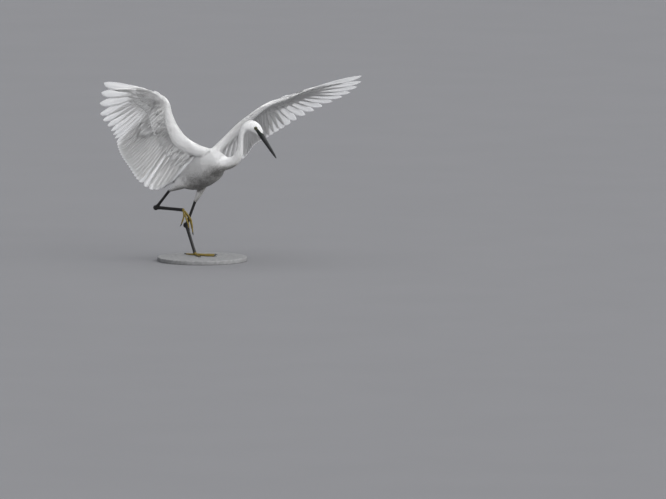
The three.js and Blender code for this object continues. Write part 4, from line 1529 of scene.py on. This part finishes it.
@dataclass(frozen=True)
class Plumage(Finish):
    """White feathers with fine barbs along each vane, greyer where a feather's own value is low; on the coats the
    value is lowered by painted shade where the tufts face down.
    """

    glow: float = 0.0
    glow_depth: float = 0.004
    sheen: float = 0.15
    barb_count: float = 260.0
    barb_slant: float = 70.0
    barb_depth: float = 0.00006
    cloud_scale: float = 45.0
    cloud_share: float = 0.4
    # The lowest stops are the grey of painted shade where the coats face down.
    stops: tuple[tuple[float, Colour], ...] = (
        (0.02, PAINTED_SHADE), (0.25, (0.5, 0.49, 0.475)), (0.45, WHITE), (0.9, (0.88, 0.88, 0.875)))

    def paint(self, shading: Shading) -> None:
        """Adds the barbs, the glow of light through the vane, and the tones.

        Args:
            shading: The material while it is being made.
        """
        inputs, math_ = shading.shader.inputs, shading.math
        inputs["Sheen Weight"].default_value = self.sheen
        if self.glow:
            inputs["Subsurface Weight"].default_value = self.glow
            inputs["Subsurface Radius"].default_value = (1, 1, 1)
            inputs["Subsurface Scale"].default_value = self.glow_depth
        lay = shading.node("UVMap")
        lay.uv_map = VANE_MAP
        parts = shading.node("SeparateXYZ", Vector=lay.outputs["UV"])
        aside = math_("ABSOLUTE", math_("SUBTRACT", parts.outputs["X"], 0.5))
        slant = math_("SUBTRACT", math_("MULTIPLY", parts.outputs["Y"], self.barb_count),
                      math_("MULTIPLY", aside, self.barb_slant))
        shading.bump(math_("SINE", slant), self.barb_depth)
        cloud = math_("MULTIPLY", shading.noise(self.cloud_scale), self.cloud_share)
        shading.tint(math_("ADD", math_("MULTIPLY", shading.mark(), 1 - self.cloud_share), cloud), self.stops)


@dataclass(frozen=True)
class Marked(Finish):
    """A finish whose colours follow each form's own value."""

    stops: tuple[tuple[float, Colour], ...] = ()

    def paint(self, shading: Shading) -> None:
        """Colours the material by the value."""
        shading.tint(shading.mark(), self.stops)


@dataclass(frozen=True)
class Mottled(Finish):
    """Two tones mottled by a noise."""

    low: Colour = (0.2, 0.2, 0.2)
    high: Colour = (0.26, 0.26, 0.26)
    scale: float = 300.0
    spread: tuple[float, float] = (0.35, 0.65)

    def paint(self, shading: Shading) -> None:
        """Mottles the material."""
        shading.tint(shading.noise(self.scale), tuple(zip(self.spread, (self.low, self.high))))


# The lowest stop is the grey of painted shade where the skin faces down; the highest is the dark bare skin before the
# eyes.
SKIN = Marked("skin_under_coat", 0.7, 0.0002, 700, (
    (0.0, PAINTED_SHADE), (0.3, WHITE), (0.45, WHITE), (0.8, (0.012, 0.016, 0.013))))
IRIS = Marked("pale_eye", 0.06, stops=(
    (0.56, (0.003, 0.003, 0.003)), (0.61, (0.17, 0.155, 0.04)), (0.74, (0.2, 0.18, 0.05)),
    (0.8, (0.012, 0.012, 0.008))))
DOWN = Plumage("white_down", 0.65)
VANES = Plumage("white_vane", 0.65, glow=0.85)
HORN = Mottled("black_horn", 0.35, 0.0001, 360, (0.004, 0.0042, 0.005), (0.01, 0.0105, 0.012), 90)
SCALE = Mottled("black_scale", 0.5, 0.0001, 1200, (0.003, 0.003, 0.003), (0.009, 0.008, 0.007))
YELLOW = Mottled("yellow_scale", 0.5, 0.0001, 1200, (0.12, 0.08, 0.007), (0.22, 0.16, 0.016))
BARE = Mottled("bare_skin", 0.5, 0.0001, 1200, (0.012, 0.016, 0.012), (0.03, 0.038, 0.028))
STONE = Mottled("grey_stone", 0.8, 0.0001, 900, scale=90)
PAPER = Mottled("floor_paper", 0.9, 0.0, 400, (0.183, 0.183, 0.19), (0.187, 0.187, 0.194), 3)


@dataclass(frozen=True)
class Sun:
    """A soft light, with its way to the light in shares of the camera's right, back and up."""

    name: str
    energy: float
    angle: float
    way: Point


@dataclass
class Studio:
    """Pale floor, soft lights and the camera."""

    azimuth: float = 40.0
    elevation: float = 6.0
    across: float = 0.379
    upward: float = 0.0323
    distance: float = 30.0
    view_width: float = 1.931
    sensor: float = 36.0
    reach: float = 500.0
    floor_size: float = 160.0
    sky: tuple[float, ...] = (0.86, 0.9, 1, 1)
    sky_strength: float = 0.3
    suns: tuple[Sun, ...] = (Sun("key", 2.7, 1.3, (0.65, 0.45, 0.6)), Sun("fill", 1.35, 1.2, (0.15, 1, 0.05)),
                             Sun("top", 1.3, 1.4, (0, 0, 1)))

    def build(self) -> None:
        """Places the floor, the lights and the camera."""
        az, el = math.radians(self.azimuth), math.radians(self.elevation)
        right = Vector((math.cos(az), math.sin(az), 0))
        back = Vector((math.sin(az) * math.cos(el), -math.cos(az) * math.cos(el), math.sin(el)))
        up = Vector((-math.sin(az) * math.sin(el), math.cos(az) * math.sin(el), math.cos(el)))
        scene = bpy.context.scene
        camera = bpy.data.cameras.new("camera")
        camera.sensor_width = self.sensor
        camera.lens = self.sensor * self.distance / self.view_width
        camera.clip_end = self.reach
        scene.camera = self.hang("camera", camera, back)
        scene.camera.location = right * self.across + up * self.upward + back * self.distance
        bpy.ops.mesh.primitive_plane_add(size=self.floor_size, location=(0, 0, 0))
        floor = bpy.context.object
        floor.name = "floor"
        floor.data.materials.append(PAPER.make())
        scene.view_settings.view_transform = "Standard"
        scene.world = bpy.data.worlds.new("studio")
        scene.world.use_nodes = True
        sky = scene.world.node_tree.nodes["Background"]
        sky.inputs["Color"].default_value = self.sky
        sky.inputs["Strength"].default_value = self.sky_strength
        for sun in self.suns:
            light = bpy.data.lights.new(sun.name, "SUN")
            light.energy = sun.energy
            light.angle = sun.angle
            self.hang(sun.name, light, right * sun.way[0] + back * sun.way[1] + up * sun.way[2])

    @staticmethod
    def hang(name: str, data: bpy.types.ID, way: Vector) -> Piece:
        """Adds a camera or a light.

        Args:
            name: Its name.
            data: The camera's or light's settings.
            way: The direction that its back faces.

        Returns:
            The new object.
        """
        holder = bpy.data.objects.new(name, data)
        holder.rotation_euler = way.to_track_quat("Z", "Y").to_euler()
        bpy.context.scene.collection.objects.link(holder)
        return holder


def report(*pieces: Piece) -> None:
    """Logs each piece with its number of faces."""
    for piece in pieces:
        LOG.info("%s: %d faces", piece.name, len(piece.data.polygons))


def main() -> None:
    """Builds every piece in order."""
    white, vanes, horn, scale, yellow, bare = (
        finish.make() for finish in (DOWN, VANES, HORN, SCALE, YELLOW, BARE))
    report(Stand().build(STONE.make()))
    skin = Skin()
    report(skin.build(SKIN.make()))
    report(Bill().half(True, horn), Bill().half(False, horn))
    iris = IRIS.make()
    for side in Side:
        report(*Eye(side).build(iris, bare))
    for lay in LEGS:
        report(*Leg(lay).build(scale, yellow, horn))
    for seed, lay in enumerate(COATS, COAT_SEED):
        report(Coat(lay, skin.tree, seed).build(white))
    for lay in WINGS.values():
        report(*Wing(lay).build(vanes))
    report(Tail().build(vanes))
    Studio().build()
    bpy.context.view_layer.update()


if __name__ == "__main__":
    logging.basicConfig(level=logging.INFO)
    main()
